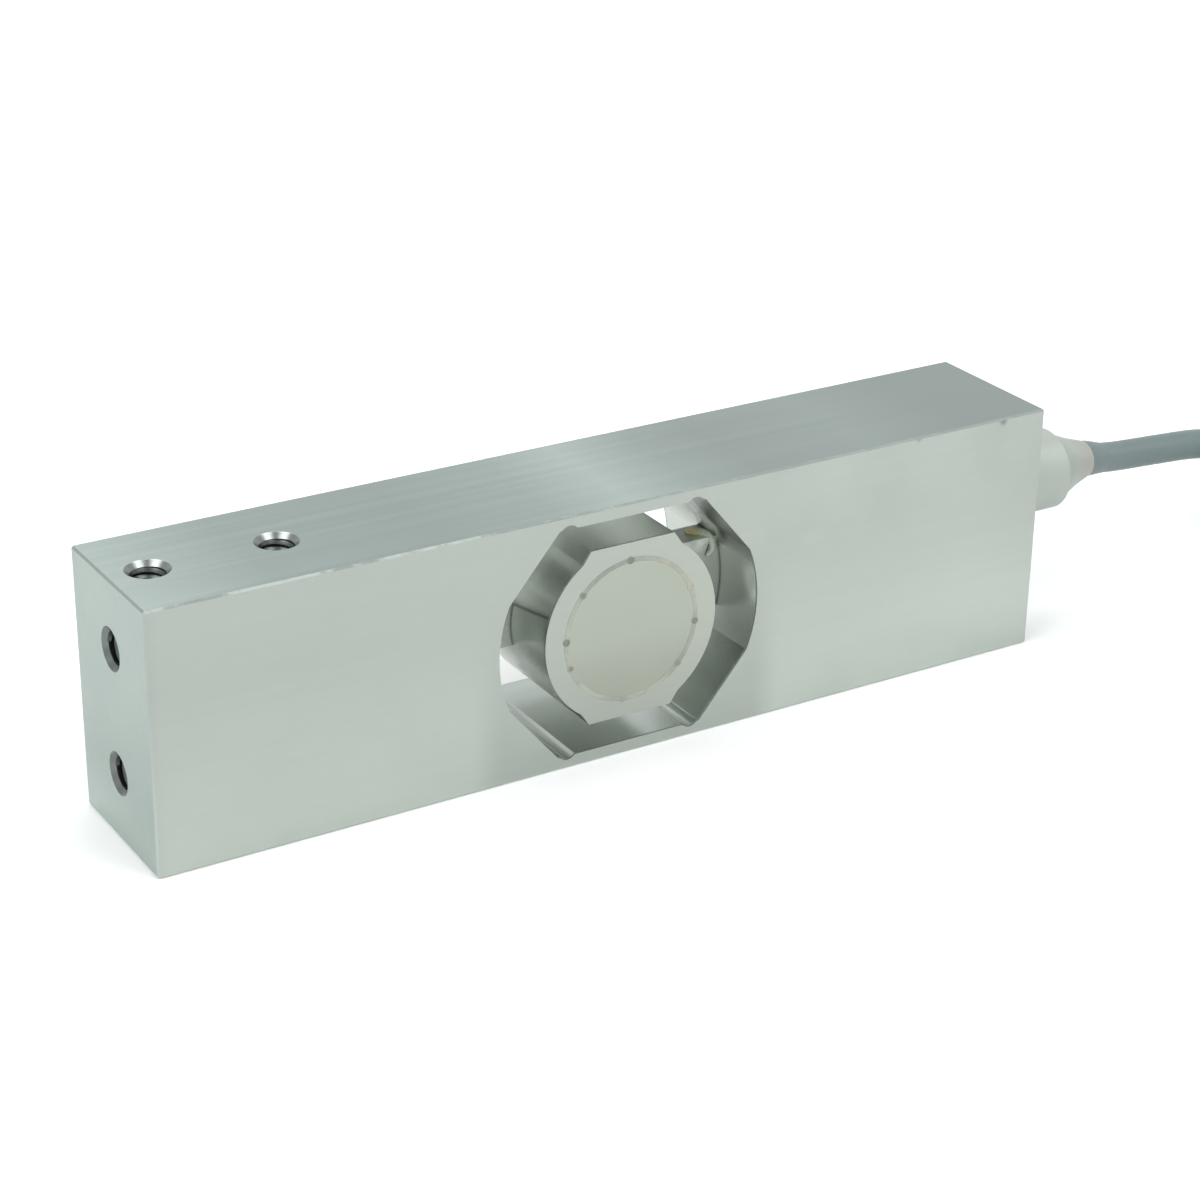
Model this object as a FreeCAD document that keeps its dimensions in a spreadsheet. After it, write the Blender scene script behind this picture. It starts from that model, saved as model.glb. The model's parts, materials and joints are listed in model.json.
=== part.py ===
import FreeCAD, Part
import math
import os
import Sketcher

# Single point load cell: a 150 x 25 x 40 mm stainless parallelogram beam with a welded gauge boss.
# The frame has its origin at the centre of the bottom face, +X towards the cable, +Z up.
# The side with Y below zero is called the front, the one with Y above zero the back.

doc = FreeCAD.newDocument("load_cell")
sheet = doc.addObject("Spreadsheet::Sheet", "Sizes")

# Driving dimensions in millimetres, and angles in degrees.
SIZES = {
    # Block
    "block_length": 150,
    "block_width": 25,
    "block_height": 40,
    "block_edge_break": 0.3,
    # Opening that leaves the two thin flexures, measured from its own centre
    "opening_centre_height": 20,
    "opening_half_height": 18,
    "opening_corner_reach": 12.2,
    "opening_side_radius": 22,
    "opening_diagonal_angle": 50,
    "relief_reach": 10.6,
    "relief_radius": 1.7,
    "relief_depth": 0.6,
    # Gauge boss in the middle of the opening
    "boss_radius": 14.5,
    "boss_half_height": 13.8,
    "boss_ear_reach": 7,
    "boss_ear_root_reach": 8.5,
    "boss_ear_root_height": 11.6,
    # Webs that carry the boss, thinned from both faces
    "web_thickness": 5,
    "left_web_top": 3.3,
    "left_web_bottom": 3.4,
    "right_web_top": 6.5,
    "right_web_bottom": 5,
    # Stepped gauge pockets in both faces of the boss
    "cover_radius": 11,
    "cover_thickness": 1.2,
    "cover_seam": 0.05,
    "cover_rim_bevel": 0.12,
    "pocket_radius": 9.6,
    "pocket_floor_radius": 8.7,
    "board_ledge_depth": 5.6,
    "diaphragm_thickness": 2,
    # Bores for the wires
    "wire_bore_radius": 1.6,
    "wire_well_radius": 2,
    "wire_well_reach": 5.9,
    "lead_hole_radius": 1.2,
    "lead_hole_reach": 6.9,
    # Cable axis, gland and the parts in its socket
    "cable_axis_height": 23.5,
    "cable_radius": 2.5,
    "socket_radius": 5,
    "socket_depth": 24,
    "socket_fit": 0.05,
    "gland_flange_radius": 6.6,
    "gland_flange_length": 12.3,
    "gland_flange_bevel": 0.6,
    "gland_taper_length": 7.4,
    "gland_neck_radius": 5.8,
    "gland_mouth_radius": 3,
    "gland_waist_radius": 4.2,
    "gland_spigot_length": 8,
    "gland_bore_gap": 0.15,
    "seal_length": 7,
    "washer_thickness": 1,
    "ferrule_length": 4.6,
    "ferrule_wall": 1.1,
    "potting_length": 3,
    # Threaded mounting holes
    "thread_radius": 2.5,
    "thread_mouth_radius": 3.25,
    "hole_pitch": 19,
    "hole_edge_distance": 6,
    "top_hole_depth": 6.3,
    "bottom_hole_depth": 12,
    "end_hole_depth": 14,
    "end_hole_lower_height": 10.5,
    "drill_point_angle": 118,
    "countersink_angle": 90,
    # Terminal board and the small parts on it
    "board_thickness": 1,
    "board_radius": 9.3,
    "board_flat_reach": 7.4,
    "resistor_length": 4.6,
    "resistor_radius": 0.9,
    "resistor_spacing": 3.6,
    "resistor_lead_radius": 0.25,
    "resistor_lead_overhang": 0.9,
    # Foil gauges and the tab strip
    "gauge_length": 8,
    "gauge_height": 7,
    "gauge_film": 0.1,
    "grid_line_width": 0.3,
    "grid_line_pitch": 0.6,
    "grid_line_length": 3,
    "grid_offset": 1.95,
    "tab_size": 0.7,
    "tab_pitch": 1.1,
    "lead_wire_radius": 0.12,
    "lead_wire_loop": 0.8,
    "strip_length": 5,
    "strip_height": 1.6,
    "strip_thickness": 0.4,
    # Insulated cores
    "core_radius": 0.5,
    "core_offset": 0.6,
    "core_bend_radius": 0.9,
    # Cable, the tied hank of its spare length, and its end
    "cable_straight_exit": 9,
    "hank_start_x": 155,
    "hank_run": 41,
    "hank_centre_y": -10,
    "hank_mid_radius": 17.5,
    "hank_columns_width": 10,
    "hank_layers": 4,
    "hank_inset": 0.15,
    "hank_corner_bevel": 1.6,
    "hank_entry_length": 15.5,
    "hank_entry_angle": 20,
    "tie_thickness": 0.6,
    "tie_width": 6,
    "tail_angle": 20,
    "tail_length": 27,
    "sleeve_wall": 0.5,
    "sleeve_length": 12,
    "sleeve_overhang": 2,
    "lead_radius": 0.55,
    "lead_tip_radius": 0.3,
    "lead_tip_length": 5,
    "lead_rise": 9,
    "lead_run": 8,
    "lead_spread": 2.6,
    "lead_flare": 0.65,
    "lead_bundle_offset": 0.85,
}

for row, (alias, value) in enumerate(SIZES.items(), start=1):
    sheet.set("A%d" % row, alias.replace("_", " "))
    sheet.set("B%d" % row, str(value))
    sheet.setAlias("B%d" % row, alias)
doc.recompute()

NAME_MARK = "$"
CORE_NAMES = ("red", "black", "green", "white")
CORE_SIDES = ((-1, 1), (-1, -1), (1, 1), (1, -1))
FRONT = -1
BACK = 1
GRID_LINES = 5
GRID_ANGLE = 45

# End leads: name, rank in the fan, then side and height in the jacket
LEADS = (
    ("lead_red", -2, -1, -1),
    ("lead_green", -1, -1, 1),
    ("lead_shield", 0, 0, 0),
    ("lead_white", 1, 1, 1),
    ("lead_black", 2, 1, -1),
)


def size(alias):
    """Value of a cell of the sheet."""
    return float(sheet.get(alias))


def bind(thing, field, formula):
    """Tie a property to the sheet; each $name in the formula is a cell's alias."""
    thing.setExpression(field, formula.replace(NAME_MARK, "Sizes."))


def place(thing, x="0", y="0", z="0"):
    """Bind the three coordinates of a placement."""
    for axis, formula in (("x", x), ("y", y), ("z", z)):
        bind(thing, "Placement.Base." + axis, formula)


def plane(body, role):
    """One of a body's own origin planes."""
    return next(f for f in body.Origin.OriginFeatures if f.Role == role)


def new_body(label):
    body = doc.addObject("PartDesign::Body", label)
    body.Label = label
    return body


def new_sketch(body, name, role, lift="0"):
    """Sketch on an origin plane, lifted along the plane's normal."""
    sketch = body.newObject("Sketcher::SketchObject", name)
    sketch.AttachmentSupport = [(plane(body, role), "")]
    sketch.MapMode = "FlatFace"
    bind(sketch, "AttachmentOffset.Base.z", lift)
    return sketch


def pin(sketch, shape_index, point, x, y):
    """Hold one point of a sketch at two distances from its origin."""
    for kind, formula in (("DistanceX", x), ("DistanceY", y)):
        index = sketch.addConstraint(Sketcher.Constraint(kind, -1, 1, shape_index, point, 1.0))
        bind(sketch, "Constraints[%d]" % index, formula)


def draw_polygon(sketch, corners):
    """Closed outline whose corners are pairs of formulas."""
    count = len(corners)
    turn = 2 * math.pi / count
    spots = [FreeCAD.Vector(math.cos(turn * i), math.sin(turn * i), 0) for i in range(count)]
    for i in range(count):
        sketch.addGeometry(Part.LineSegment(spots[i], spots[(i + 1) % count]), False)
    for i in range(count):
        sketch.addConstraint(Sketcher.Constraint("Coincident", i, 2, (i + 1) % count, 1))
    for i, (x, y) in enumerate(corners):
        pin(sketch, i, 1, x, y)


def draw_circles(sketch, centres, radius):
    """Circles of one radius at pairs of formulas."""
    for i, (x, y) in enumerate(centres):
        circle = Part.Circle(FreeCAD.Vector(i, i, 0), FreeCAD.Vector(0, 0, 1), 1.0)
        shape_index = sketch.addGeometry(circle, False)
        index = sketch.addConstraint(Sketcher.Constraint("Radius", shape_index, 1.0))
        bind(sketch, "Constraints[%d]" % index, radius)
        pin(sketch, shape_index, 3, x, y)


def mirror_corners(corners):
    """Outline with two planes of symmetry, from its corners in the first quarter."""
    def flip(pair, sx, sy):
        return (sx + "(" + pair[0] + ")", sy + "(" + pair[1] + ")")

    first = [flip(p, "1 * ", "1 * ") for p in corners]
    second = [flip(p, "-1 * ", "1 * ") for p in reversed(corners)]
    third = [flip(p, "-1 * ", "-1 * ") for p in corners]
    fourth = [flip(p, "1 * ", "-1 * ") for p in reversed(corners)]
    return first + second + third + fourth


def symmetric_pad(body, sketch, name, length):
    pad = body.newObject("PartDesign::Pad", name)
    pad.Profile = sketch
    pad.SideType = "Symmetric"
    bind(pad, "Length", length)
    return pad


def revolve(body, sketch, name, axis="H_Axis"):
    """Full turn about an axis of the sketch."""
    turn = body.newObject("PartDesign::Revolution", name)
    turn.Profile = sketch
    turn.ReferenceAxis = (sketch, [axis])
    turn.Angle = 360
    return turn


def box(name, length, width, height, x, y, z):
    """Block from its three sizes and the place of its centre."""
    thing = doc.addObject("Part::Box", name)
    bind(thing, "Length", length)
    bind(thing, "Width", width)
    bind(thing, "Height", height)
    place(thing, "%s - (%s) / 2" % (x, length), "%s - (%s) / 2" % (y, width),
          "%s - (%s) / 2" % (z, height))
    return thing


def cross_cylinder(name, radius, near, far, x, z):
    """Cylinder along Y from the level near to the level far."""
    thing = doc.addObject("Part::Cylinder", name)
    thing.Placement = FreeCAD.Placement(FreeCAD.Vector(), FreeCAD.Rotation(FreeCAD.Vector(1, 0, 0), -90))
    bind(thing, "Radius", radius)
    bind(thing, "Height", "(%s) - (%s)" % (far, near))
    place(thing, x, near, z)
    return thing


def long_cylinder(name, radius, near, far, y, z):
    """Cylinder along X from the level near to the level far."""
    thing = doc.addObject("Part::Cylinder", name)
    thing.Placement = FreeCAD.Placement(FreeCAD.Vector(), FreeCAD.Rotation(FreeCAD.Vector(0, 1, 0), 90))
    bind(thing, "Radius", radius)
    bind(thing, "Height", "(%s) - (%s)" % (far, near))
    place(thing, near, y, z)
    return thing


def combine(kind, name, things):
    """Boolean sum or common part of several objects."""
    result = doc.addObject("Part::" + kind, name)
    result.Shapes = things
    result.Refine = True
    return result


def cut(name, base, tool):
    result = doc.addObject("Part::Cut", name)
    result.Base = base
    result.Tool = tool
    result.Refine = True
    return result


def solid(label, shape):
    """Sub-part whose form is worked out here from the sheet's values."""
    thing = doc.addObject("Part::Feature", label)
    thing.Label = label
    thing.Shape = shape
    return thing


def bent_path(points, radius=None):
    """Straight runs joined by tangent arcs; without a radius each is as large as its runs allow."""
    points = [FreeCAD.Vector(*p) for p in points]
    edges = []
    radii = []
    start = points[0]
    for before, corner, after in zip(points, points[1:], points[2:]):
        back = before - corner
        ahead = after - corner
        turn = math.pi - back.getAngle(ahead)
        bend = radius or 0.45 * min(back.Length, ahead.Length) / math.tan(turn / 2)
        setback = bend * math.tan(turn / 2)
        back.normalize()
        ahead.normalize()
        inward = (back + ahead).normalize()
        centre = corner + inward * (bend / math.cos(turn / 2))
        first = corner + back * setback
        last = corner + ahead * setback
        edges.append(Part.LineSegment(start, first).toShape())
        edges.append(Part.Arc(first, centre - inward * bend, last).toShape())
        radii.append(bend)
        start = last
    edges.append(Part.LineSegment(start, points[-1]).toShape())
    return Part.Wire(edges), radii


def tube(points, radius, bend=None):
    """Round rod along a bent path."""
    path, radii = bent_path(points, bend)
    heading = FreeCAD.Vector(*points[1]) - FreeCAD.Vector(*points[0])
    ring = Part.Wire([Part.makeCircle(radius, FreeCAD.Vector(*points[0]), heading)])
    return path.makePipeShell([ring], True, False), path, radii


# Levels and places that several pieces share, as formulas
END_FACE = "$block_length / 2"
FACE = "$block_width / 2"
CENTRE = "$opening_centre_height"
PAST_FACES = "$block_width / 2 + $block_edge_break"
AXIS_HEIGHT = "$cable_axis_height"
SEAT_LEVEL = "(%s - $cover_thickness)" % FACE
LEDGE_LEVEL = "(%s - $cover_thickness - $board_ledge_depth)" % FACE
FLOOR_LEVEL = "$diaphragm_thickness / 2"
SOCKET_FLOOR = "(%s - $socket_depth)" % END_FACE


def make_block():
    """Block with broken edges and its threaded mounting holes."""
    body = new_body("block")
    outline = new_sketch(body, "block_outline", "XZ_Plane")
    half = "$block_length / 2"
    draw_polygon(outline, [("-" + half, "0 * $block_height"), (half, "0 * $block_height"),
                           (half, "$block_height"), ("-" + half, "$block_height")])
    pad = symmetric_pad(body, outline, "block_pad", "$block_width")
    doc.recompute()
    breaks = body.newObject("PartDesign::Chamfer", "block_edges")
    breaks.Base = (pad, ["Edge%d" % (i + 1) for i in range(len(pad.Shape.Edges))])
    bind(breaks, "Size", "$block_edge_break")
    doc.recompute()

    outer = "(%s - $hole_edge_distance)" % END_FACE
    inner = "(%s - $hole_edge_distance - $hole_pitch)" % END_FACE
    rows = (
        ("top_holes", "XY_Plane", "$block_height", False, "$top_hole_depth",
         [("-1 * " + outer, "0 * $hole_pitch"), ("-1 * " + inner, "0 * $hole_pitch")]),
        ("bottom_holes", "XY_Plane", "0", True, "$bottom_hole_depth",
         [(outer, "0 * $hole_pitch"), (inner, "0 * $hole_pitch")]),
        ("end_holes", "YZ_Plane", "-$block_length / 2", True, "$end_hole_depth",
         [("0 * $hole_pitch", "$end_hole_lower_height"),
          ("0 * $hole_pitch", "$end_hole_lower_height + $hole_pitch")]),
    )
    for name, role, lift, turned, depth, centres in rows:
        marks = new_sketch(body, name + "_marks", role, lift)
        draw_circles(marks, centres, "$thread_radius")
        doc.recompute()
        hole = body.newObject("PartDesign::Hole", name)
        hole.Profile = marks
        hole.Reversed = turned
        hole.ThreadType = "None"
        hole.DepthType = "Dimension"
        hole.DrillPoint = "Angled"
        hole.DrillForDepth = False
        hole.HoleCutType = "Countersink"
        hole.HoleCutCustomValues = True
        bind(hole, "DrillPointAngle", "$drill_point_angle")
        bind(hole, "HoleCutCountersinkAngle", "$countersink_angle")
        bind(hole, "Diameter", "2 * $thread_radius")
        bind(hole, "HoleCutDiameter", "2 * $thread_mouth_radius")
        bind(hole, "Depth", depth)
        volume = body.Shape.Volume
        doc.recompute()
        if not body.Shape.Volume < volume:
            raise RuntimeError(name + " cut nothing")
    return body


def make_opening():
    """Octagon with rounded sides and a relief groove in each corner of the flexures."""
    octagon = new_body("opening_octagon")
    outline = new_sketch(octagon, "opening_outline", "XZ_Plane")
    side_height = ("$opening_half_height - ($opening_side_radius - $opening_corner_reach)"
                   " * tan($opening_diagonal_angle)")
    draw_polygon(outline, mirror_corners([("$opening_side_radius", side_height),
                                          ("$opening_corner_reach", "$opening_half_height")]))
    symmetric_pad(octagon, outline, "opening_pad", "2 * (%s)" % PAST_FACES)
    place(octagon, z=CENTRE)
    rounding = cross_cylinder("opening_rounding", "$opening_side_radius", "-(%s)" % PAST_FACES,
                              PAST_FACES, "0", CENTRE)
    parts = [combine("MultiCommon", "opening_main", [octagon, rounding])]
    for side in (-1, 1):
        for up in (-1, 1):
            relief = cross_cylinder("relief_groove", "$relief_radius", "-(%s)" % PAST_FACES, PAST_FACES,
                                    "%d * $relief_reach" % side,
                                    "%s + %d * ($opening_half_height + $relief_depth - $relief_radius)"
                                    % (CENTRE, up))
            parts.append(relief)
    return combine("MultiFuse", "opening", parts)


def make_island():
    """Round boss with flats and four corner ears, and the webs that carry it."""
    ears = new_body("boss_ears")
    outline = new_sketch(ears, "boss_ear_outline", "XZ_Plane")
    draw_polygon(outline, mirror_corners([("$boss_ear_root_reach", "$boss_ear_root_height"),
                                          ("$boss_ear_reach", "$boss_half_height")]))
    symmetric_pad(ears, outline, "boss_ear_pad", "2 * (%s)" % PAST_FACES)
    place(ears, z=CENTRE)
    round_part = cross_cylinder("boss_round", "$boss_radius", "-(%s)" % PAST_FACES, PAST_FACES, "0", CENTRE)
    flats = box("boss_flats", "2 * $boss_radius", "2 * (%s)" % PAST_FACES, "2 * $boss_half_height",
                "0", "0", CENTRE)
    trimmed = combine("MultiCommon", "boss_trimmed", [round_part, flats])
    parts = [ears, trimmed]
    for name, side in (("left_web", -1), ("right_web", 1)):
        web = box(name, "$opening_side_radius", "$web_thickness", "$%s_top + $%s_bottom" % (name, name),
                  "%d * $opening_side_radius / 2" % side, "0",
                  "%s + ($%s_top - $%s_bottom) / 2" % (CENTRE, name, name))
        parts.append(web)
    return combine("MultiFuse", "island", parts)


def make_bores():
    """Stepped gauge pockets, the wire well, the lead hole, the wire bore and the gland socket."""
    tools = []
    for face, name in ((FRONT, "front"), (BACK, "back")):
        for step, radius, near, far in (("seat", "$cover_radius", SEAT_LEVEL, PAST_FACES),
                                        ("pocket", "$pocket_radius", LEDGE_LEVEL, SEAT_LEVEL),
                                        ("floor", "$pocket_floor_radius", FLOOR_LEVEL, LEDGE_LEVEL)):
            low, high = (near, far) if face == BACK else ("-(%s)" % far, "-(%s)" % near)
            tools.append(cross_cylinder(name + "_" + step, radius, low, high, "0", CENTRE))
    tools.append(cross_cylinder("wire_well", "$wire_well_radius", "-" + LEDGE_LEVEL,
                                "$wire_bore_radius", "$wire_well_reach", AXIS_HEIGHT))
    tools.append(cross_cylinder("lead_hole", "$lead_hole_radius", "-" + FLOOR_LEVEL, FLOOR_LEVEL,
                                "-$lead_hole_reach", CENTRE))
    tools.append(long_cylinder("wire_bore", "$wire_bore_radius", "$wire_well_reach", SOCKET_FLOOR,
                               "0", AXIS_HEIGHT))
    tools.append(long_cylinder("gland_socket", "$socket_radius", SOCKET_FLOOR,
                               END_FACE + " + $block_edge_break", "0", AXIS_HEIGHT))
    return combine("MultiFuse", "bores", tools)


def make_beam():
    """Beam milled from one block."""
    ring_gap = cut("ring_gap", make_opening(), make_island())
    removed = combine("MultiFuse", "removed_metal", [ring_gap, make_bores()])
    beam = cut("beam", make_block(), removed)
    beam.Label = "beam"
    return beam


def make_cover(label, face):
    """Thin welded disc that closes a gauge pocket flush with the boss."""
    body = new_body(label)
    profile = new_sketch(body, label + "_profile", "XY_Plane")
    edge = "$cover_radius - $cover_seam"
    draw_polygon(profile, [("0 * $cover_radius", "0 * $cover_radius"), (edge, "0 * $cover_radius"),
                           (edge, "$cover_thickness - $cover_rim_bevel"),
                           (edge + " - $cover_rim_bevel", "$cover_thickness"),
                           ("0 * $cover_radius", "$cover_thickness")])
    revolve(body, profile, label + "_turned", "V_Axis")
    if face == FRONT:
        body.Placement.Rotation = FreeCAD.Rotation(FreeCAD.Vector(0, 0, 1), 180)
    place(body, y="%d * %s" % (face, SEAT_LEVEL), z=CENTRE)
    return body


def make_board():
    """Round terminal board that rests on the pocket's ledge, with a flat side for the lead wires."""
    body = new_body("terminal_board")
    outline = new_sketch(body, "board_outline", "XZ_Plane")
    draw_circles(outline, [("0 * $board_radius", "0 * $board_radius")], "$board_radius")
    symmetric_pad(body, outline, "board_pad", "$board_thickness")
    doc.recompute()
    trim = new_sketch(body, "board_flat", "XZ_Plane")
    draw_polygon(trim, [("-$board_radius - $board_thickness", "-$board_radius"),
                        ("-$board_flat_reach", "-$board_radius"),
                        ("-$board_flat_reach", "$board_radius"),
                        ("-$board_radius - $board_thickness", "$board_radius")])
    flat = body.newObject("PartDesign::Pocket", "board_trim")
    flat.Profile = trim
    flat.SideType = "Symmetric"
    flat.Type = "Length"
    bind(flat, "Length", "2 * $board_thickness")
    place(body, y="-%s - $board_thickness / 2" % LEDGE_LEVEL, z=CENTRE)
    return body


def board_front():
    """Level of the front side of the terminal board."""
    ledge = size("block_width") / 2 - size("cover_thickness") - size("board_ledge_depth")
    return -ledge - size("board_thickness")


def make_resistor(label, rank):
    """Wound trim resistor lying on the board, its two leads bent down to their pads."""
    half = size("resistor_length") / 2
    radius = size("resistor_radius")
    wire = size("resistor_lead_radius")
    reach = half + size("resistor_lead_overhang")
    body = Part.makeCylinder(radius, 2 * half, FreeCAD.Vector(-half, -radius, 0), FreeCAD.Vector(1, 0, 0))
    groove = Part.makeTorus(radius, wire, FreeCAD.Vector(0, -radius, 0), FreeCAD.Vector(1, 0, 0))
    lead_path = [(-reach, 0, 0), (-reach, -radius, 0), (reach, -radius, 0), (reach, 0, 0)]
    leads = tube(lead_path, wire, 2 * wire)[0]
    thing = solid(label, body.cut(groove).fuse(leads).removeSplitter())
    place_z = size("opening_centre_height") + rank * size("resistor_spacing")
    thing.Placement = FreeCAD.Placement(FreeCAD.Vector(0, board_front(), place_z), FreeCAD.Rotation())
    return thing


def make_gauge(label, face):
    """Shear rosette: a film with two foil grids at 45 degrees and four solder tabs."""
    film = size("gauge_film")
    length = size("gauge_length")
    height = size("gauge_height")
    line = size("grid_line_length")
    width = size("grid_line_width")
    pitch = size("grid_line_pitch")
    carrier = Part.makeBox(length, film, height, FreeCAD.Vector(-length / 2, -film, -height / 2))
    foil = []
    for side in (-1, 1):
        strips = []
        for i in range(GRID_LINES):
            x = (i - (GRID_LINES - 1) / 2) * pitch
            corner = FreeCAD.Vector(x - width / 2, -2 * film, -line / 2)
            strips.append(Part.makeBox(width, film, line, corner))
            if i < GRID_LINES - 1:
                end = line / 2 - width if i % 2 else -line / 2
                strips.append(Part.makeBox(pitch, film, width, FreeCAD.Vector(x, -2 * film, end)))
        grid = strips[0].fuse(strips[1:]).removeSplitter()
        grid.rotate(FreeCAD.Vector(), FreeCAD.Vector(0, 1, 0), side * GRID_ANGLE)
        grid.translate(FreeCAD.Vector(side * size("grid_offset"), 0, 0))
        foil.append(grid)
    for x in tab_places():
        tab = size("tab_size")
        foil.append(Part.makeBox(tab, film, tab, FreeCAD.Vector(x - tab / 2, -2 * film, -height / 2)))
    thing = solid(label, carrier.fuse(foil).removeSplitter())
    level = face * size("diaphragm_thickness") / 2
    turn = FreeCAD.Rotation(FreeCAD.Vector(0, 0, 1), 0 if face == FRONT else 180)
    centre = FreeCAD.Vector(0, level, size("opening_centre_height"))
    thing.Placement = FreeCAD.Placement(centre, turn)
    return thing


def tab_places():
    """Sideways places of a gauge's four tabs."""
    return [(i - 1.5) * size("tab_pitch") for i in range(4)]


def make_tab_strip():
    """Small strip beside the back gauge where its wires turn to the lead hole."""
    body = Part.makeBox(size("strip_height"), size("strip_thickness"), size("strip_length"))
    pads = []
    for x in tab_places():
        pad = size("tab_size")
        corner = FreeCAD.Vector((size("strip_height") - pad) / 2, size("strip_thickness"),
                                size("strip_length") / 2 + x - pad / 2)
        pads.append(Part.makeBox(pad, size("gauge_film"), pad, corner))
    thing = solid("back_tab_strip", body.fuse(pads).removeSplitter())
    reach = size("lead_hole_reach") - size("lead_hole_radius")
    corner = FreeCAD.Vector(-reach, size("diaphragm_thickness") / 2,
                            size("opening_centre_height") - size("strip_length") / 2)
    thing.Placement = FreeCAD.Placement(corner, FreeCAD.Rotation())
    return thing


def make_front_leads():
    """Four fine wires from the front gauge's tabs straight up to the board."""
    radius = size("lead_wire_radius")
    start = -size("diaphragm_thickness") / 2 - 2 * size("gauge_film")
    end = board_front() + size("board_thickness")
    height = size("opening_centre_height") - size("gauge_height") / 2 + size("tab_size") / 2
    wires = [Part.makeCylinder(radius, start - end, FreeCAD.Vector(x, end, height), FreeCAD.Vector(0, 1, 0))
             for x in tab_places()]
    return solid("front_gauge_leads", Part.makeCompound(wires))


def make_back_leads():
    """Four fine wires from the tab strip over the rim of the lead hole and through to the board."""
    radius = size("lead_wire_radius")
    reach = size("lead_hole_reach")
    strip_x = -(reach - size("lead_hole_radius") - size("strip_height") / 2)
    low = size("diaphragm_thickness") / 2 + size("strip_thickness") + size("gauge_film")
    high = low + size("lead_wire_loop")
    end = board_front() + size("board_thickness")
    squeeze = size("lead_hole_radius") / (3 * size("tab_pitch"))
    wires = []
    for x in tab_places():
        z = size("opening_centre_height") + x
        near = size("opening_centre_height") + x * squeeze
        path = [(strip_x, low, z), (strip_x, high, z), (-reach, high, near), (-reach, end, near)]
        wires.append(tube(path, radius, 3 * radius)[0])
    return solid("back_gauge_leads", Part.makeCompound(wires))


def make_core(name, sides):
    """Insulated core from the cable's end through the wire bore, up the well to the board."""
    y = sides[0] * size("core_offset")
    z = size("cable_axis_height") + sides[1] * size("core_offset")
    turn_x = size("wire_well_reach") - sides[0] * size("core_offset")
    start = ferrule_start()
    end = board_front() + size("board_thickness")
    path = [(start, y, z), (turn_x, y, z), (turn_x, end, z)]
    return solid("core_" + name, tube(path, size("core_radius"), size("core_bend_radius"))[0])


def ferrule_start():
    """Inner end of the ferrule and of the cable's jacket."""
    inner = size("block_length") / 2 - size("gland_spigot_length") - size("seal_length")
    return inner - size("washer_thickness") - size("ferrule_length")


def socket_piece(label, corners, height_shift="0"):
    """Turned piece on the cable's axis; its corners are distances from the end face and radii."""
    body = new_body(label)
    profile = new_sketch(body, label + "_profile", "XY_Plane")
    draw_polygon(profile, corners)
    revolve(body, profile, label + "_turned")
    place(body, x=END_FACE, z=AXIS_HEIGHT + " + " + height_shift)
    return body


def ring_corners(near, far, inner, outer):
    """Rectangle of a plain ring between two levels and two radii."""
    return [(near, inner), (far, inner), (far, outer), (near, outer)]


def make_gland():
    """Gland with a spigot in the socket, a round flange and a hollow taper to the cable."""
    bore = "$cable_radius + $gland_bore_gap"
    spigot = "$socket_radius - $socket_fit"
    flange = "$gland_flange_length"
    mouth = "$gland_flange_length + $gland_taper_length"
    waist = "$gland_flange_length + $gland_taper_length / 2"
    return socket_piece("gland_body", [
        ("-$gland_spigot_length", bore), (mouth, bore), (mouth, "$gland_mouth_radius"),
        (waist, "$gland_waist_radius"), (flange, "$gland_neck_radius"),
        (flange, "$gland_flange_radius - $gland_flange_bevel"),
        (flange + " - $gland_flange_bevel", "$gland_flange_radius"),
        ("0 * $gland_flange_length", "$gland_flange_radius"), ("0 * $gland_flange_length", spigot),
        ("-$gland_spigot_length", spigot)])


def make_socket_pieces():
    """Seal, washer, crimped ferrule and potting behind the gland."""
    seal_end = "-$gland_spigot_length - $seal_length"
    washer_end = seal_end + " - $washer_thickness"
    ferrule_end = washer_end + " - $ferrule_length"
    outer = "$socket_radius - $socket_fit"
    socket_piece("gland_seal", ring_corners(seal_end, "-$gland_spigot_length", "$cable_radius", outer))
    socket_piece("gland_washer", ring_corners(washer_end, seal_end, "$cable_radius", outer))
    socket_piece("cable_ferrule", ring_corners(ferrule_end, washer_end, "$cable_radius",
                                               "$cable_radius + $ferrule_wall"))


def make_potting():
    """Resin disc that fills the bottom of the socket round the four cores."""
    start = size("block_length") / 2 - size("socket_depth")
    radius = size("socket_radius") - size("socket_fit")
    axis = FreeCAD.Vector(1, 0, 0)
    disc = Part.makeCylinder(radius, size("potting_length"),
                             FreeCAD.Vector(start, 0, size("cable_axis_height")), axis)
    for sides in CORE_SIDES:
        place_y = sides[0] * size("core_offset")
        place_z = size("cable_axis_height") + sides[1] * size("core_offset")
        disc = disc.cut(Part.makeCylinder(size("core_radius"), size("potting_length"),
                                          FreeCAD.Vector(start, place_y, place_z), axis))
    return solid("potting_plug", disc)


def gland_mouth():
    """Distance of the gland's mouth from the origin."""
    return size("block_length") / 2 + size("gland_flange_length") + size("gland_taper_length")


def make_jacket_end():
    """Cable inside the gland, the seal and the ferrule."""
    start = ferrule_start()
    length = gland_mouth() - start
    corner = FreeCAD.Vector(start, 0, size("cable_axis_height"))
    return solid("cable_inner_end", Part.makeCylinder(size("cable_radius"), length, corner,
                                                      FreeCAD.Vector(1, 0, 0)))


def hank_levels():
    """Bottom of the hank and its height."""
    return size("tie_thickness"), 2 * size("cable_radius") * size("hank_layers")


def hank_tracks():
    """Inner and outer radius of the hank's bends."""
    half = size("hank_columns_width") / 2
    return size("hank_mid_radius") - half, size("hank_mid_radius") + half


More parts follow.
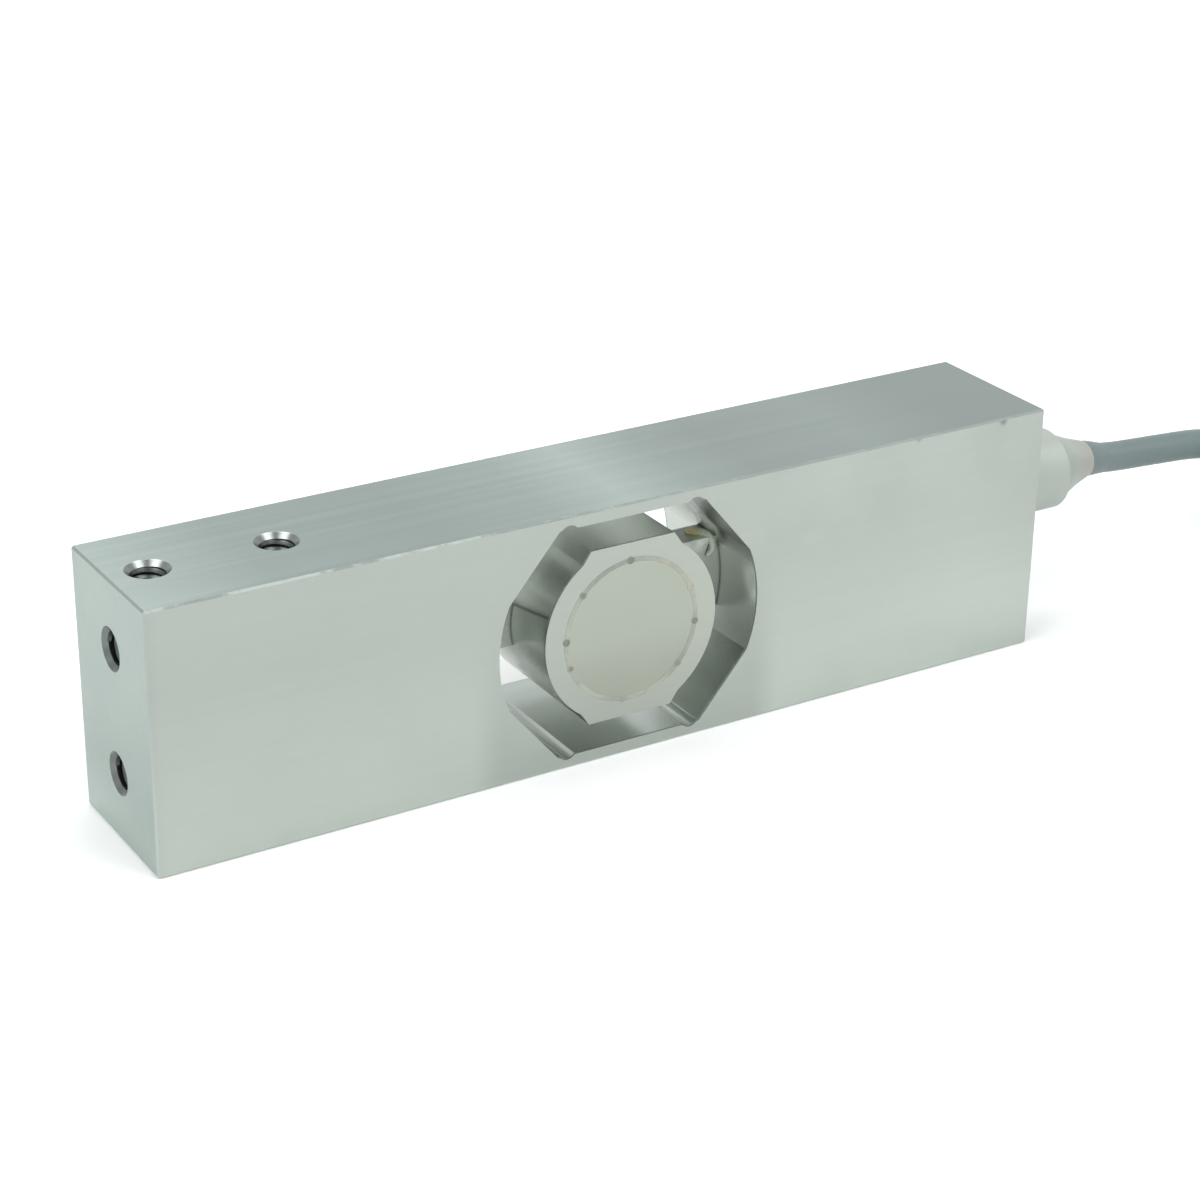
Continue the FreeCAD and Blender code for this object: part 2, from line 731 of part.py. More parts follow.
def bend_frame(end_x, angle):
    """Frame at the centre of one bend, turned from the hank's line by an angle."""
    centre = FreeCAD.Vector(end_x, size("hank_centre_y"), 0)
    return FreeCAD.Placement(centre, FreeCAD.Rotation(FreeCAD.Vector(0, 0, 1), angle))


def entry_frame():
    """Frame in which the cable meets the outermost turn along its own X, above the bend's centre."""
    return bend_frame(size("hank_start_x"), size("hank_entry_angle"))


def tail_frame():
    """Frame in which the cable leaves the outermost turn along its own X, above the bend's centre."""
    return bend_frame(size("hank_start_x") + size("hank_run"), -size("tail_angle"))


def outer_turn():
    """Distance of the outermost turn's middle from the centre of its bend."""
    return hank_tracks()[1] - size("cable_radius")


def make_cable():
    """Cable from the gland's mouth to the hank, drooping and swinging a little aside."""
    bottom, height = hank_levels()
    top_track = bottom + height - size("cable_radius")
    mouth = gland_mouth()
    axis_z = size("cable_axis_height")
    end = entry_frame().multVec(FreeCAD.Vector(-size("hank_entry_length"), outer_turn(), top_track))
    swing_x = end.x - end.y / math.tan(math.radians(size("hank_entry_angle")))
    route = [
        (mouth, 0, axis_z),
        (mouth + size("cable_straight_exit"), 0, axis_z),
        (swing_x, 0, top_track),
        tuple(end),
    ]
    shape, path, radii = tube(route, size("cable_radius"))
    print("cable arcs, mm:", [round(r, 1) for r in radii])
    section = math.pi * size("cable_radius") ** 2
    print("cable volume over section times length:", round(shape.Volume / (section * path.Length), 5))
    return solid("cable", shape)


def hank_section():
    """Outline of the hank's wound side with broken corners, at right angles to its run."""
    bottom, height = hank_levels()
    inset = size("hank_inset")
    bevel = size("hank_corner_bevel")
    inner, outer = hank_tracks()
    inner += inset
    outer -= inset
    low = bottom + inset
    high = bottom + height - inset
    corners = [(inner + bevel, low), (outer - bevel, low), (outer, low + bevel), (outer, high - bevel),
               (outer - bevel, high), (inner + bevel, high), (inner, high - bevel), (inner, low + bevel)]
    outline = [FreeCAD.Vector(0, y, z) for y, z in corners]
    return Part.Face(Part.makePolygon(outline + outline[:1]))


def make_hank():
    """Wound length of the cable as its outer shape, with a straight stub where it starts and ends."""
    bottom, height = hank_levels()
    radius = size("cable_radius")
    run = size("hank_run")
    up = FreeCAD.Vector(0, 0, 1)
    along = FreeCAD.Vector(1, 0, 0)
    section = hank_section()
    side = section.extrude(FreeCAD.Vector(run, 0, 0))
    section.translate(FreeCAD.Vector(run, 0, 0))
    bend = section.revolve(FreeCAD.Vector(run, 0, 0), up, -180)
    half = side.fuse(bend)
    other = half.copy()
    other.rotate(FreeCAD.Vector(run / 2, 0, 0), up, 180)
    ring = half.fuse(other)
    ring.translate(FreeCAD.Vector(size("hank_start_x"), size("hank_centre_y"), 0))
    entry_length = size("hank_entry_length")
    entry_start = FreeCAD.Vector(-entry_length, outer_turn(), bottom + height - radius)
    entry = Part.makeCylinder(radius, entry_length, entry_start, along)
    entry.Placement = entry_frame()
    tail_start = FreeCAD.Vector(0, outer_turn(), bottom + radius)
    tail = Part.makeCylinder(radius, size("tail_length"), tail_start, along)
    tail.Placement = tail_frame()
    return solid("cable_hank", ring.fuse([entry, tail]).removeSplitter())


def make_ties():
    """Two bands, one round the middle of each wound side."""
    bottom, height = hank_levels()
    inner, outer = hank_tracks()
    wall = size("tie_thickness")
    width = size("tie_width")
    corner = FreeCAD.Vector(-width / 2, inner - wall, bottom - wall)
    band = Part.makeBox(width, outer - inner + 2 * wall, height + 2 * wall, corner)
    core = FreeCAD.Vector(-width / 2, inner, bottom)
    band = band.cut(Part.makeBox(width, outer - inner, height, core))
    other = band.copy()
    other.rotate(FreeCAD.Vector(), FreeCAD.Vector(0, 0, 1), 180)
    thing = solid("hank_ties", Part.makeCompound([band, other]))
    middle = FreeCAD.Vector(size("hank_start_x") + size("hank_run") / 2, size("hank_centre_y"), 0)
    thing.Placement = FreeCAD.Placement(middle, FreeCAD.Rotation())
    return thing


def make_sleeve():
    """Shrink sleeve over the jacket's cut end."""
    radius = size("cable_radius")
    start = size("tail_length") + size("sleeve_overhang") - size("sleeve_length")
    corner = FreeCAD.Vector(start, outer_turn(), hank_levels()[0] + radius)
    along = FreeCAD.Vector(1, 0, 0)
    length = size("sleeve_length")
    sleeve = Part.makeCylinder(radius + size("sleeve_wall"), length, corner, along)
    thing = solid("cable_end_sleeve", sleeve.cut(Part.makeCylinder(radius, length, corner, along)))
    thing.Placement = tail_frame()
    return thing


def make_end_leads():
    """Coloured leads and the shield, fanned out on the surface with bare tips."""
    start = size("tail_length")
    axis_z = hank_levels()[0] + size("cable_radius")
    lead = size("lead_radius")
    rise = start + size("lead_rise")
    run = rise + size("lead_run")
    for name, rank, side, up in LEADS:
        y = outer_turn() + side * size("lead_bundle_offset")
        z = axis_z + up * size("lead_bundle_offset")
        spread = rank * size("lead_spread")
        flare = rank * size("lead_flare")
        path = [(start, y, z), (start + size("sleeve_overhang"), y, z), (rise, outer_turn() + spread, lead),
                (run, outer_turn() + spread + flare, lead)]
        cover = tube(path, lead)[0]
        end = FreeCAD.Vector(*path[-1])
        heading = end - FreeCAD.Vector(*path[-2])
        core = Part.makeCylinder(size("lead_tip_radius"), size("lead_tip_length"), end, heading)
        thing = solid(name, cover.fuse(core).removeSplitter())
        thing.Placement = tail_frame()


make_beam()
make_cover("front_cover", FRONT)
make_cover("back_cover", BACK)
make_board()
make_resistor("zero_trim_resistor", -1)
make_resistor("span_trim_resistor", 0)
make_resistor("temperature_resistor", 1)
make_gauge("front_gauge", FRONT)
make_gauge("back_gauge", BACK)
make_tab_strip()
make_front_leads()
make_back_leads()
for core_name, core_sides in zip(CORE_NAMES, CORE_SIDES):
    make_core(core_name, core_sides)
make_gland()
make_socket_pieces()
make_potting()
make_jacket_end()
make_cable()
make_hank()
make_ties()
make_sleeve()
make_end_leads()
doc.recompute()

NODES = [
    "beam", "front_cover", "back_cover", "terminal_board", "zero_trim_resistor", "span_trim_resistor",
    "temperature_resistor", "front_gauge", "back_gauge", "back_tab_strip", "front_gauge_leads",
    "back_gauge_leads", "core_red", "core_black", "core_green", "core_white", "gland_body", "gland_seal",
    "gland_washer", "cable_ferrule", "potting_plug", "cable_inner_end", "cable", "cable_hank", "hank_ties",
    "cable_end_sleeve", "lead_red", "lead_green", "lead_shield", "lead_white", "lead_black",
]

for thing in doc.Objects:
    if "Invalid" in thing.State or "Error" in thing.State:
        raise RuntimeError("failed: " + thing.Name + " " + str(thing.State))

pieces = {}
for node in NODES:
    piece = doc.getObjectsByLabel(node)[0]
    if piece.Shape.isNull() or not piece.Shape.isValid():
        raise RuntimeError("no valid shape: " + node)
    pieces[node] = piece

os.makedirs("parts", exist_ok=True)
for node, piece in pieces.items():
    piece.Shape.exportStep("parts/" + node + ".step")
    print(node, "solids", len(piece.Shape.Solids), "volume", round(piece.Shape.Volume, 2))
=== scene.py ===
import json
import math

import bmesh
import bpy
from mathutils import Matrix, Vector


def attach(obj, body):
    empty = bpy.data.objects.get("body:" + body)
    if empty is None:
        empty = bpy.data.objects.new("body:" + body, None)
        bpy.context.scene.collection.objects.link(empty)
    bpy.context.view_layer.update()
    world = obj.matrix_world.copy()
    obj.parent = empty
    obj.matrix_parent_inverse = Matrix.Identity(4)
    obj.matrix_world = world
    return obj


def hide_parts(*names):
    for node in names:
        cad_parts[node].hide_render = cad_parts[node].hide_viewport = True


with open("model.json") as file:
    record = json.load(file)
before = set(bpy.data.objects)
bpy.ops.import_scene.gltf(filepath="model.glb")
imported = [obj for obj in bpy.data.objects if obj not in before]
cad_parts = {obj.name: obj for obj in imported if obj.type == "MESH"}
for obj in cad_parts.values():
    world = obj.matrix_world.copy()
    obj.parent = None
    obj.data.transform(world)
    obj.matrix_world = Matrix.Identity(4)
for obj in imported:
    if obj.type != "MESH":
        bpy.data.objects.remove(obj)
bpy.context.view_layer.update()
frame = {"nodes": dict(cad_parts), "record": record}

MM = 0.001

# Camera at the angle of the photograph

CAMERA_PLACE = Vector((-199.41, -326.44, 196.38)) * MM
CAMERA_FORWARD = Vector((0.4771, 0.7723, -0.4194))
CAMERA_RIGHT = Vector((0.8539, -0.5202, 0.0136))
CAMERA_LENS = 85.13


def make_camera():
    data = bpy.data.cameras.new("camera")
    data.lens = CAMERA_LENS
    data.sensor_width = 36
    data.clip_start = 0.01
    data.clip_end = 20
    camera = bpy.data.objects.new("camera", data)
    bpy.context.scene.collection.objects.link(camera)
    forward = CAMERA_FORWARD.normalized()
    up = CAMERA_RIGHT.cross(forward).normalized()
    right = forward.cross(up)
    turn = Matrix((right, up, -forward)).transposed()
    camera.matrix_world = Matrix.Translation(CAMERA_PLACE) @ turn.to_4x4()
    bpy.context.scene.camera = camera


make_camera()

# Cable: straight out of the gland, a slight droop, then a tied hank in line with the block

CABLE_DIAMETER = 5.0
SWING_LAG = 4
HANK_START = (155, -10)
HANK_RUN = 41
HANK_MIDDLE_RADIUS = 17.5
HANK_OUTER_TURN = 20
HANK_INNER_TURN = 15
HANK_LEVELS = (18.1, 13.1, 8.1, 3.1)
HANK_ENTRY_LENGTH = 15.5
HANK_ENTRY_ANGLE = 20
TAIL_ANGLE = 20
TAIL_LENGTH = 27
HANK_POINTS_PER_TURN = 24
HANK_TURN_LENGTH = 2 * HANK_RUN + 2 * math.pi * HANK_MIDDLE_RADIUS
FIRST_CHANGE = 0.85
CHANGE_STEP = 0.92
CHANGE_SHARE = 0.16
CABLE_SEEN = ((94.7, 0, 23.5), (98.5, 0, 22.85), (102.5, 0, 22.45), (108.5, 0, 22.1), (122, 0, 21.2))


def soft_step(share):
    share = min(max(share, 0), 1)
    return share * share * (3 - 2 * share)


def bend_place(end_x, angle, along, out):
    """Point beside a bend's centre, along and out from a line that is turned by an angle."""
    turn = math.radians(angle)
    return (end_x + along * math.cos(turn) - out * math.sin(turn),
            HANK_START[1] + along * math.sin(turn) + out * math.cos(turn))


def wound_point(turns):
    """Point of the wound cable after so many clockwise turns from the start of its far side."""
    places = [(HANK_OUTER_TURN, 0), (HANK_INNER_TURN, 0), (HANK_INNER_TURN, 1), (HANK_OUTER_TURN, 1),
              (HANK_OUTER_TURN, 2), (HANK_INNER_TURN, 2), (HANK_INNER_TURN, 3), (HANK_OUTER_TURN, 3)]
    radius, height = places[0][0], HANK_LEVELS[0]
    for change, (before, after) in enumerate(zip(places, places[1:])):
        middle = FIRST_CHANGE + CHANGE_STEP * change
        share = soft_step((turns - middle) / CHANGE_SHARE + 0.5)
        radius += (after[0] - before[0]) * share
        height += (HANK_LEVELS[after[1]] - HANK_LEVELS[before[1]]) * share
    way = turns % 1 * HANK_TURN_LENGTH
    half = HANK_RUN + math.pi * HANK_MIDDLE_RADIUS
    side = 1 if way < half else -1
    way %= half
    along = min(way, HANK_RUN) - HANK_RUN / 2
    angle = max(way - HANK_RUN, 0) / HANK_MIDDLE_RADIUS
    x = along + radius * math.sin(angle)
    y = radius * math.cos(angle)
    return (HANK_START[0] + HANK_RUN / 2 + side * x, HANK_START[1] + side * y, height)


def cable_points():
    top, bottom = HANK_LEVELS[0], HANK_LEVELS[-1]
    entry_x, entry_y = bend_place(HANK_START[0], HANK_ENTRY_ANGLE, -HANK_ENTRY_LENGTH, HANK_OUTER_TURN)
    swing_x = entry_x - entry_y / math.tan(math.radians(HANK_ENTRY_ANGLE))
    entry = [*CABLE_SEEN, (swing_x + SWING_LAG, 1, top), (entry_x, entry_y, top)]
    arc_share = HANK_MIDDLE_RADIUS / HANK_TURN_LENGTH
    start = -math.radians(HANK_ENTRY_ANGLE) * arc_share
    whole_turns = len(HANK_LEVELS) * 2 - 1
    end = whole_turns + HANK_RUN / HANK_TURN_LENGTH + math.radians(TAIL_ANGLE) * arc_share
    count = round((end - start) * HANK_POINTS_PER_TURN)
    wound = [wound_point(start + (end - start) * i / count) for i in range(count + 1)]
    tail_end = bend_place(HANK_START[0] + HANK_RUN, -TAIL_ANGLE, TAIL_LENGTH, HANK_OUTER_TURN)
    return entry + wound + [(*tail_end, bottom)]


def make_cable():
    curve = bpy.data.curves.new("cable_jacket", "CURVE")
    curve.dimensions = "3D"
    points = cable_points()
    spline = curve.splines.new("NURBS")
    spline.points.add(len(points) - 1)
    for target, point in zip(spline.points, points):
        target.co = (*(Vector(point) * MM), 1)
        target.radius = CABLE_DIAMETER / 2 * MM
    spline.order_u = 3
    spline.use_endpoint_u = True
    spline.resolution_u = 6
    curve.bevel_depth = 1
    curve.bevel_resolution = 5
    curve.use_fill_caps = True
    cable = bpy.data.objects.new("cable_jacket", curve)
    bpy.context.scene.collection.objects.link(cable)
    return cable


def curve_length(cable):
    curve = cable.data
    depth = curve.bevel_depth
    curve.bevel_depth = 0
    mesh = bpy.data.meshes.new_from_object(cable)
    curve.bevel_depth = depth
    points = [v.co.copy() for v in mesh.vertices]
    bpy.data.meshes.remove(mesh)
    return sum((b - a).length for a, b in zip(points, points[1:]))


cable = make_cable()
print("cable length, m:", round(curve_length(cable), 4))
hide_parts("cable", "cable_hank")
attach(cable, "root")

# Finishes


def set_stops(ramp, stops):
    """Give a colour ramp its stops of place and colour."""
    while len(ramp.elements) < len(stops):
        ramp.elements.new(0.5)
    for element, (place, colour) in zip(ramp.elements, stops):
        element.position = place
        element.color = (*colour, 1)


class Finish:
    """Material that is put together from nodes, on the coordinates of the whole part."""

    def __init__(self, name, colour, metallic, roughness):
        self.material = bpy.data.materials.new(name)
        self.material.use_nodes = True
        self.tree = self.material.node_tree
        self.shader = self.tree.nodes["Principled BSDF"]
        self.shader.inputs["Base Color"].default_value = (*colour, 1)
        self.shader.inputs["Metallic"].default_value = metallic
        self.shader.inputs["Roughness"].default_value = roughness
        self.coordinates = self.add("ShaderNodeTexCoord").outputs["Object"]

    def add(self, kind, **settings):
        node = self.tree.nodes.new(kind)
        for name, value in settings.items():
            setattr(node, name, value)
        return node

    def feed(self, socket, value):
        """Join an output to a socket, or set the socket to a plain value."""
        if isinstance(value, bpy.types.NodeSocket):
            self.tree.links.new(value, socket)
        elif socket.type == "RGBA":
            socket.default_value = (*value, 1)
        else:
            socket.default_value = value

    def stretched(self, scale, turn=(0, 0, 0)):
        """The part's coordinates, stretched and turned."""
        node = self.add("ShaderNodeMapping")
        self.feed(node.inputs["Vector"], self.coordinates)
        node.inputs["Rotation"].default_value = turn
        node.inputs["Scale"].default_value = scale
        return node.outputs["Vector"]

    def noise(self, scale, detail=3.0, stretch=(1, 1, 1), rough=0.5, turn=(0, 0, 0)):
        node = self.add("ShaderNodeTexNoise")
        self.feed(node.inputs["Vector"], self.stretched(stretch, turn))
        node.inputs["Scale"].default_value = scale
        node.inputs["Detail"].default_value = detail
        node.inputs["Roughness"].default_value = rough
        return node.outputs["Fac"]

    def maths(self, operation, first, second=0.0):
        node = self.add("ShaderNodeMath", operation=operation)
        self.feed(node.inputs[0], first)
        self.feed(node.inputs[1], second)
        return node.outputs[0]

    def product(self, *factors):
        result = factors[0]
        for factor in factors[1:]:
            result = self.maths("MULTIPLY", result, factor)
        return result

    def largest(self, *values):
        result = values[0]
        for value in values[1:]:
            result = self.maths("MAXIMUM", result, value)
        return result

    def spread(self, value, low, high, to_low=0.0, to_high=1.0, smooth=True):
        """Range of a value laid out on another range."""
        node = self.add("ShaderNodeMapRange", interpolation_type="SMOOTHSTEP" if smooth else "LINEAR")
        for name, given in (("Value", value), ("From Min", low), ("From Max", high),
                            ("To Min", to_low), ("To Max", to_high)):
            self.feed(node.inputs[name], given)
        return node.outputs["Result"]

    def past(self, value, start, end, to_low=0.0, to_high=1.0, smooth=True):
        """Range between two places in millimetres laid out on another range."""
        return self.spread(value, start * MM, end * MM, to_low, to_high, smooth)

    def parts(self, vector):
        node = self.add("ShaderNodeSeparateXYZ")
        self.feed(node.inputs[0], vector)
        return node.outputs

    def normal(self):
        """Three parts of the surface's own direction."""
        return self.parts(self.add("ShaderNodeNewGeometry").outputs["Normal"])

    def openness(self, distance):
        """How free of neighbouring surfaces a place is: 0 deep in a corner, 1 in the open."""
        node = self.add("ShaderNodeAmbientOcclusion", samples=16)
        node.inputs["Distance"].default_value = distance
        return node.outputs["AO"]

    def distance(self, vector, place):
        """Distance from a place in millimetres."""
        node = self.add("ShaderNodeVectorMath", operation="DISTANCE")
        self.feed(node.inputs[0], vector)
        node.inputs[1].default_value = Vector(place) * MM
        return node.outputs["Value"]

    def spot(self, place, reach):
        """1 at a place in millimetres, fading to 0 at a distance from it."""
        return self.past(self.distance(self.coordinates, place), reach, 0)

    def off_axis(self, centre):
        """Distance from a line along Y."""
        return self.distance(self.stretched((1, 0, 1)), centre)

    def gained(self, level, share, gain):
        """A level multiplied by a gain where the share is 1."""
        return self.maths("MULTIPLY", level, self.spread(share, 0.0, 1.0, 1.0, gain, smooth=False))

    def spotted(self, level, spots):
        """A level multiplied in each spot by the spot's own gain."""
        for place, reach, gain in spots:
            level = self.gained(level, self.spot(place, reach), gain)
        return level

    def mixed(self, share, first, second):
        """One colour passing into another."""
        node = self.add("ShaderNodeMix", data_type="RGBA")
        self.feed(node.inputs[0], share)
        self.feed(node.inputs[6], first)
        self.feed(node.inputs[7], second)
        return node.outputs[2]

    def blended(self, share, first, second):
        """One number passing into another."""
        node = self.add("ShaderNodeMix", data_type="FLOAT")
        self.feed(node.inputs[0], share)
        self.feed(node.inputs[2], first)
        self.feed(node.inputs[3], second)
        return node.outputs[0]

    def shaded(self, colour, value):
        """Colour made lighter or darker by a factor."""
        node = self.add("ShaderNodeVectorMath", operation="SCALE")
        self.feed(node.inputs[0], colour)
        self.feed(node.inputs["Scale"], value)
        return node.outputs[0]

    def ramp(self, value, stops):
        """Values between stops of place and grey level."""
        node = self.add("ShaderNodeValToRGB")
        set_stops(node.color_ramp, [(place, (level, level, level)) for place, level in stops])
        self.feed(node.inputs[0], value)
        return node.outputs[0]

    def bumped(self, height, distance, strength):
        """Raise the surface by a height of 0 to 1 times a distance in millimetres."""
        node = self.add("ShaderNodeBump")
        self.feed(node.inputs["Height"], height)
        node.inputs["Distance"].default_value = distance * MM
        node.inputs["Strength"].default_value = strength
        self.feed(self.shader.inputs["Normal"], node.outputs["Normal"])

    def coloured(self, colour):
        self.feed(self.shader.inputs["Base Color"], colour)

    def rough(self, value):
        self.feed(self.shader.inputs["Roughness"], value)

    def metal(self, value):
        self.feed(self.shader.inputs["Metallic"], value)


BLOCK_HALF_LENGTH = 75.0
BLOCK_HALF_WIDTH = 12.5
BLOCK_HEIGHT = 40.0
HALF_HEIGHT = BLOCK_HEIGHT / 2
OPENING_HEIGHT = 20.0
RING_RADIUS = 16
WEB_FACE = 2.5
HOLES_FROM = 40

STEEL_COLOUR = (0.441, 0.483, 0.444)
TOP_COLOUR = (0.473, 0.541, 0.509)
END_COLOUR = (0.434, 0.497, 0.464)
RING_COLOUR = (0.462, 0.49, 0.438)
EDGE_COLOUR = (0.46, 0.50, 0.475)
# Painted light on the bottom edge bevel of the sides, lightened against the shade it reflects.
UNDER_EDGE_LIGHT_COLOUR = (0.62, 0.66, 0.62)
CORNER_COLOUR = (0.36, 0.385, 0.365)
# Painted shade in the threaded holes: their countersinks and bores, darker at the ends and darkest deep
# inside.
RIM_SHADE_COLOUR = (0.27, 0.29, 0.275)
END_RIM_SHADE_COLOUR = (0.165, 0.18, 0.17)
DEEP_SHADE_COLOUR = (0.10, 0.11, 0.105)
WALL_COLOUR = (0.522, 0.553, 0.517)

# Painted reflection bands on the top: its grey level from end to end.
TOP_REFLECTION_TONES = (
    (0.0, 1.0), (0.13, 0.744), (0.30, 0.69), (0.42, 0.765), (0.50, 0.96),
    (0.58, 0.73), (0.65, 0.644), (0.79, 0.695), (0.90, 0.604), (1.0, 0.61))
# Painted shading along the sides: their grey level from end to end.
SIDE_LIGHT_TONES = ((0.0, 0.82), (0.01, 0.87), (0.35, 0.89), (0.65, 0.89), (0.9, 0.89), (1.0, 0.84))
# Painted reflection bands across the upper right walls, from the front to the web.
UPPER_WALL_REFLECTION_TONES = ((0.0, 0.78), (0.38, 0.65), (0.5, 0.5), (0.6, 0.8), (0.7, 1.0), (0.8, 1.05), (1.0, 0.85))
# Painted sheen: a pale reflection beside the sealant bead, its place and reach.
BEAD_SHEEN_PLACE = ((19.6, -1.4, 28.7), 4.3)
# Painted highlights on the walls of the opening: place, reach and gain.
PAINTED_HIGHLIGHT_SPOTS = (((22, -12.3, 22.2), 4.8, 2.3), ((-14, -10.5, 21), 4.0, 1.3), ((18.2, -2.5, 25.3), 1.4, 1.35))
# Painted shade where the web meets the right wall: place, reach and gain.
PAINTED_SHADE_SPOTS = (((20.5, -4.8, 27.9), 1.7, 0.4),)
NICKS = (((66.8, -12.5, 39.55), 1.1, 0.55), ((50.6, -12.5, 39.75), 0.8, 0.7))
BRIGHTEST_WALL = 1.75
# Slope and height of a painted dark line of shade on the boss.
SHADE_LINE_SLOPE = 0.15
SHADE_LINE_HEIGHT = 22.86


class BlockFinish(Finish):
    """Ground and milled stainless: satin sides, a brushed top, bright walls in the opening."""

    def __init__(self):
        super().__init__("block_steel_finish", STEEL_COLOUR, 1.0, 0.3)
        self.at_x, self.at_y, self.at_z = self.parts(self.coordinates)
        self.far_x = self.maths("ABSOLUTE", self.at_x)
        self.far_y = self.maths("ABSOLUTE", self.at_y)
        self.along = self.past(self.at_x, -BLOCK_HALF_LENGTH, BLOCK_HALF_LENGTH, smooth=False)
        self.streaks = self.noise(700, 4, (0.02, 1, 1), 0.6)
        self.mottle = self.noise(95, 4, (1, 1, 1), 0.55)
        self.broad = self.noise(22, 2, (0.6, 1, 1))
        # Painted highlight on the upper side edges, broken up by noise and fading towards the right.
        edge_breakup = self.noise(160, 5, (1, 1, 1), 0.7)
        self.edge_highlight = self.product(self.spread(edge_breakup, 0.38, 0.62),
                                      self.past(self.at_x, -30, 10, 1.0, 0.35))
        self.bead_sheen = self.spot(*BEAD_SHEEN_PLACE)
        self.upper_right = self.product(self.past(self.at_x, 12, 14), self.past(self.at_z, 25, 28))
        self.find_faces()
        self.find_holes()
        self.paint()
        self.polish()

    def find_faces(self):
        """Where the outer and inner faces are, the top, and the edges that face up or down on the sides."""
        side_z = self.normal()[2]
        on_top = self.past(self.at_z, BLOCK_HEIGHT - 0.07, BLOCK_HEIGHT - 0.02)
        on_bottom = self.past(self.at_z, 0.07, 0.02)
        self.on_side = self.past(self.far_y, BLOCK_HALF_WIDTH - 0.4, BLOCK_HALF_WIDTH - 0.3)
        self.on_end = self.past(self.far_x, BLOCK_HALF_LENGTH - 0.07, BLOCK_HALF_LENGTH - 0.02)
        self.outer = self.largest(self.on_side, on_top, on_bottom, self.on_end)
        self.inner = self.maths("SUBTRACT", 1.0, self.outer)
        self.top = self.product(on_top, self.spread(side_z, 0.9, 0.97))
        self.edge = self.product(self.on_side, self.spread(side_z, 0.2, 0.4),
                                 self.spread(side_z, 0.97, 0.85))
        self.under = self.product(self.on_side, self.spread(side_z, -0.2, -0.4))

    def find_holes(self):
        """Where the countersinks and depths of the threaded holes are, and the chamfers at the ends."""
        from_middle = self.maths("ABSOLUTE", self.maths("SUBTRACT", self.at_z, OPENING_HEIGHT * MM))
        self.rim = self.product(self.inner, self.past(self.far_x, HOLES_FROM, HOLES_FROM + 1))
        self.end_rim = self.past(self.far_x, BLOCK_HALF_LENGTH - 2.5, BLOCK_HALF_LENGTH - 2)
        self.deep = self.product(self.past(from_middle, HALF_HEIGHT - 0.8, HALF_HEIGHT - 1.1),
                                 self.past(self.far_x, BLOCK_HALF_LENGTH - 0.9, BLOCK_HALF_LENGTH - 1.2))
        self.corner = self.product(self.inner, self.past(from_middle, HALF_HEIGHT - 0.5, HALF_HEIGHT - 0.45),
                                   self.past(self.far_x, BLOCK_HALF_LENGTH - 0.5, BLOCK_HALF_LENGTH - 0.45))

    def painted_shade_line(self):
        """Where a painted line of shade runs slanting on the left side of the boss."""
        height = self.maths("ADD", self.at_z, self.maths("MULTIPLY", self.at_y, SHADE_LINE_SLOPE))
        away = self.maths("ABSOLUTE", self.maths("SUBTRACT", height, SHADE_LINE_HEIGHT * MM))
        return self.product(self.past(away, 0.32, 0.08), self.past(self.at_x, -12.5, -13),
                            self.past(self.at_y, -WEB_FACE, -WEB_FACE - 0.1))

    def wall_level(self):
        """Grey level of the walls in the opening, with painted shade in corners and on the web and painted
        highlights and reflections.
        """
        # Painted shade in the inner corners, from how open each place is, weaker beside the bead.
        corner_shade = self.spread(self.openness(0.9 * MM), 0.35, 0.85,
                              self.blended(self.bead_sheen, 0.45, 1.0), 1.0)
        across = self.past(self.at_y, -BLOCK_HALF_WIDTH, WEB_FACE, smooth=False)
        # Painted reflection bands on the upper right walls.
        level = self.product(self.spread(self.broad, 0.35, 0.65, 0.94, 1.06), corner_shade,
                             self.blended(self.upper_right, 1.0, self.ramp(across, UPPER_WALL_REFLECTION_TONES)))
        # Painted shade on the web's front face, deeper towards the right.
        shaded_web_face = self.product(self.past(self.far_y, WEB_FACE + 0.06, WEB_FACE + 0.02),
                              self.past(self.far_x, 13.5, 14))
        level = self.gained(level, shaded_web_face, self.past(self.at_x, -1, 1, 0.85, 0.70))
        # Painted light: the walls a little lighter low in the opening.
        level = self.gained(level, self.past(self.at_z, 14, 9), 1.08)
        # Painted sheen beside the bead, three times lighter at its centre.
        level = self.gained(level, self.bead_sheen, 3.0)
        # Painted highlights on the walls.
        level = self.spotted(level, PAINTED_HIGHLIGHT_SPOTS)
        # Painted shade line on the boss.
        level = self.gained(level, self.painted_shade_line(), 0.55)
        # Painted shade spot, laid on after the cap on brightness.
        return self.spotted(self.maths("MINIMUM", level, BRIGHTEST_WALL), PAINTED_SHADE_SPOTS)

    def side_level(self):
        """Grey level of the satin sides, with painted shading along the length and painted light towards the
        bottom beside the opening.
        """
        level = self.product(self.ramp(self.along, SIDE_LIGHT_TONES),
                             self.spread(self.mottle, 0.25, 0.75, 0.97, 1.03),
                             self.spread(self.broad, 0.3, 0.7, 0.98, 1.02),
                             self.spread(self.streaks, 0.3, 0.7, 0.99, 1.01))
        # Painted light on the sides towards the bottom beside the opening.
        beside = self.product(self.on_side, self.past(self.far_x, 21, 27))
        return self.gained(level, self.product(beside, self.past(self.at_z, 30, 0)), 1.22)

    def outer_colour(self):
        """Colour of the sides and ends, a little warmer on the ring round the cover."""
        from_cover = self.off_axis((0, 0, OPENING_HEIGHT))
        ring = self.product(self.on_side, self.past(from_cover, RING_RADIUS + 1, RING_RADIUS))
        warm = self.product(ring, self.past(self.at_x, -6, 12, 0.35, 1.0))
        level = self.gained(self.side_level(), self.product(ring, self.past(self.at_z, 20, 6)), 0.94)
        level = self.spotted(level, NICKS)
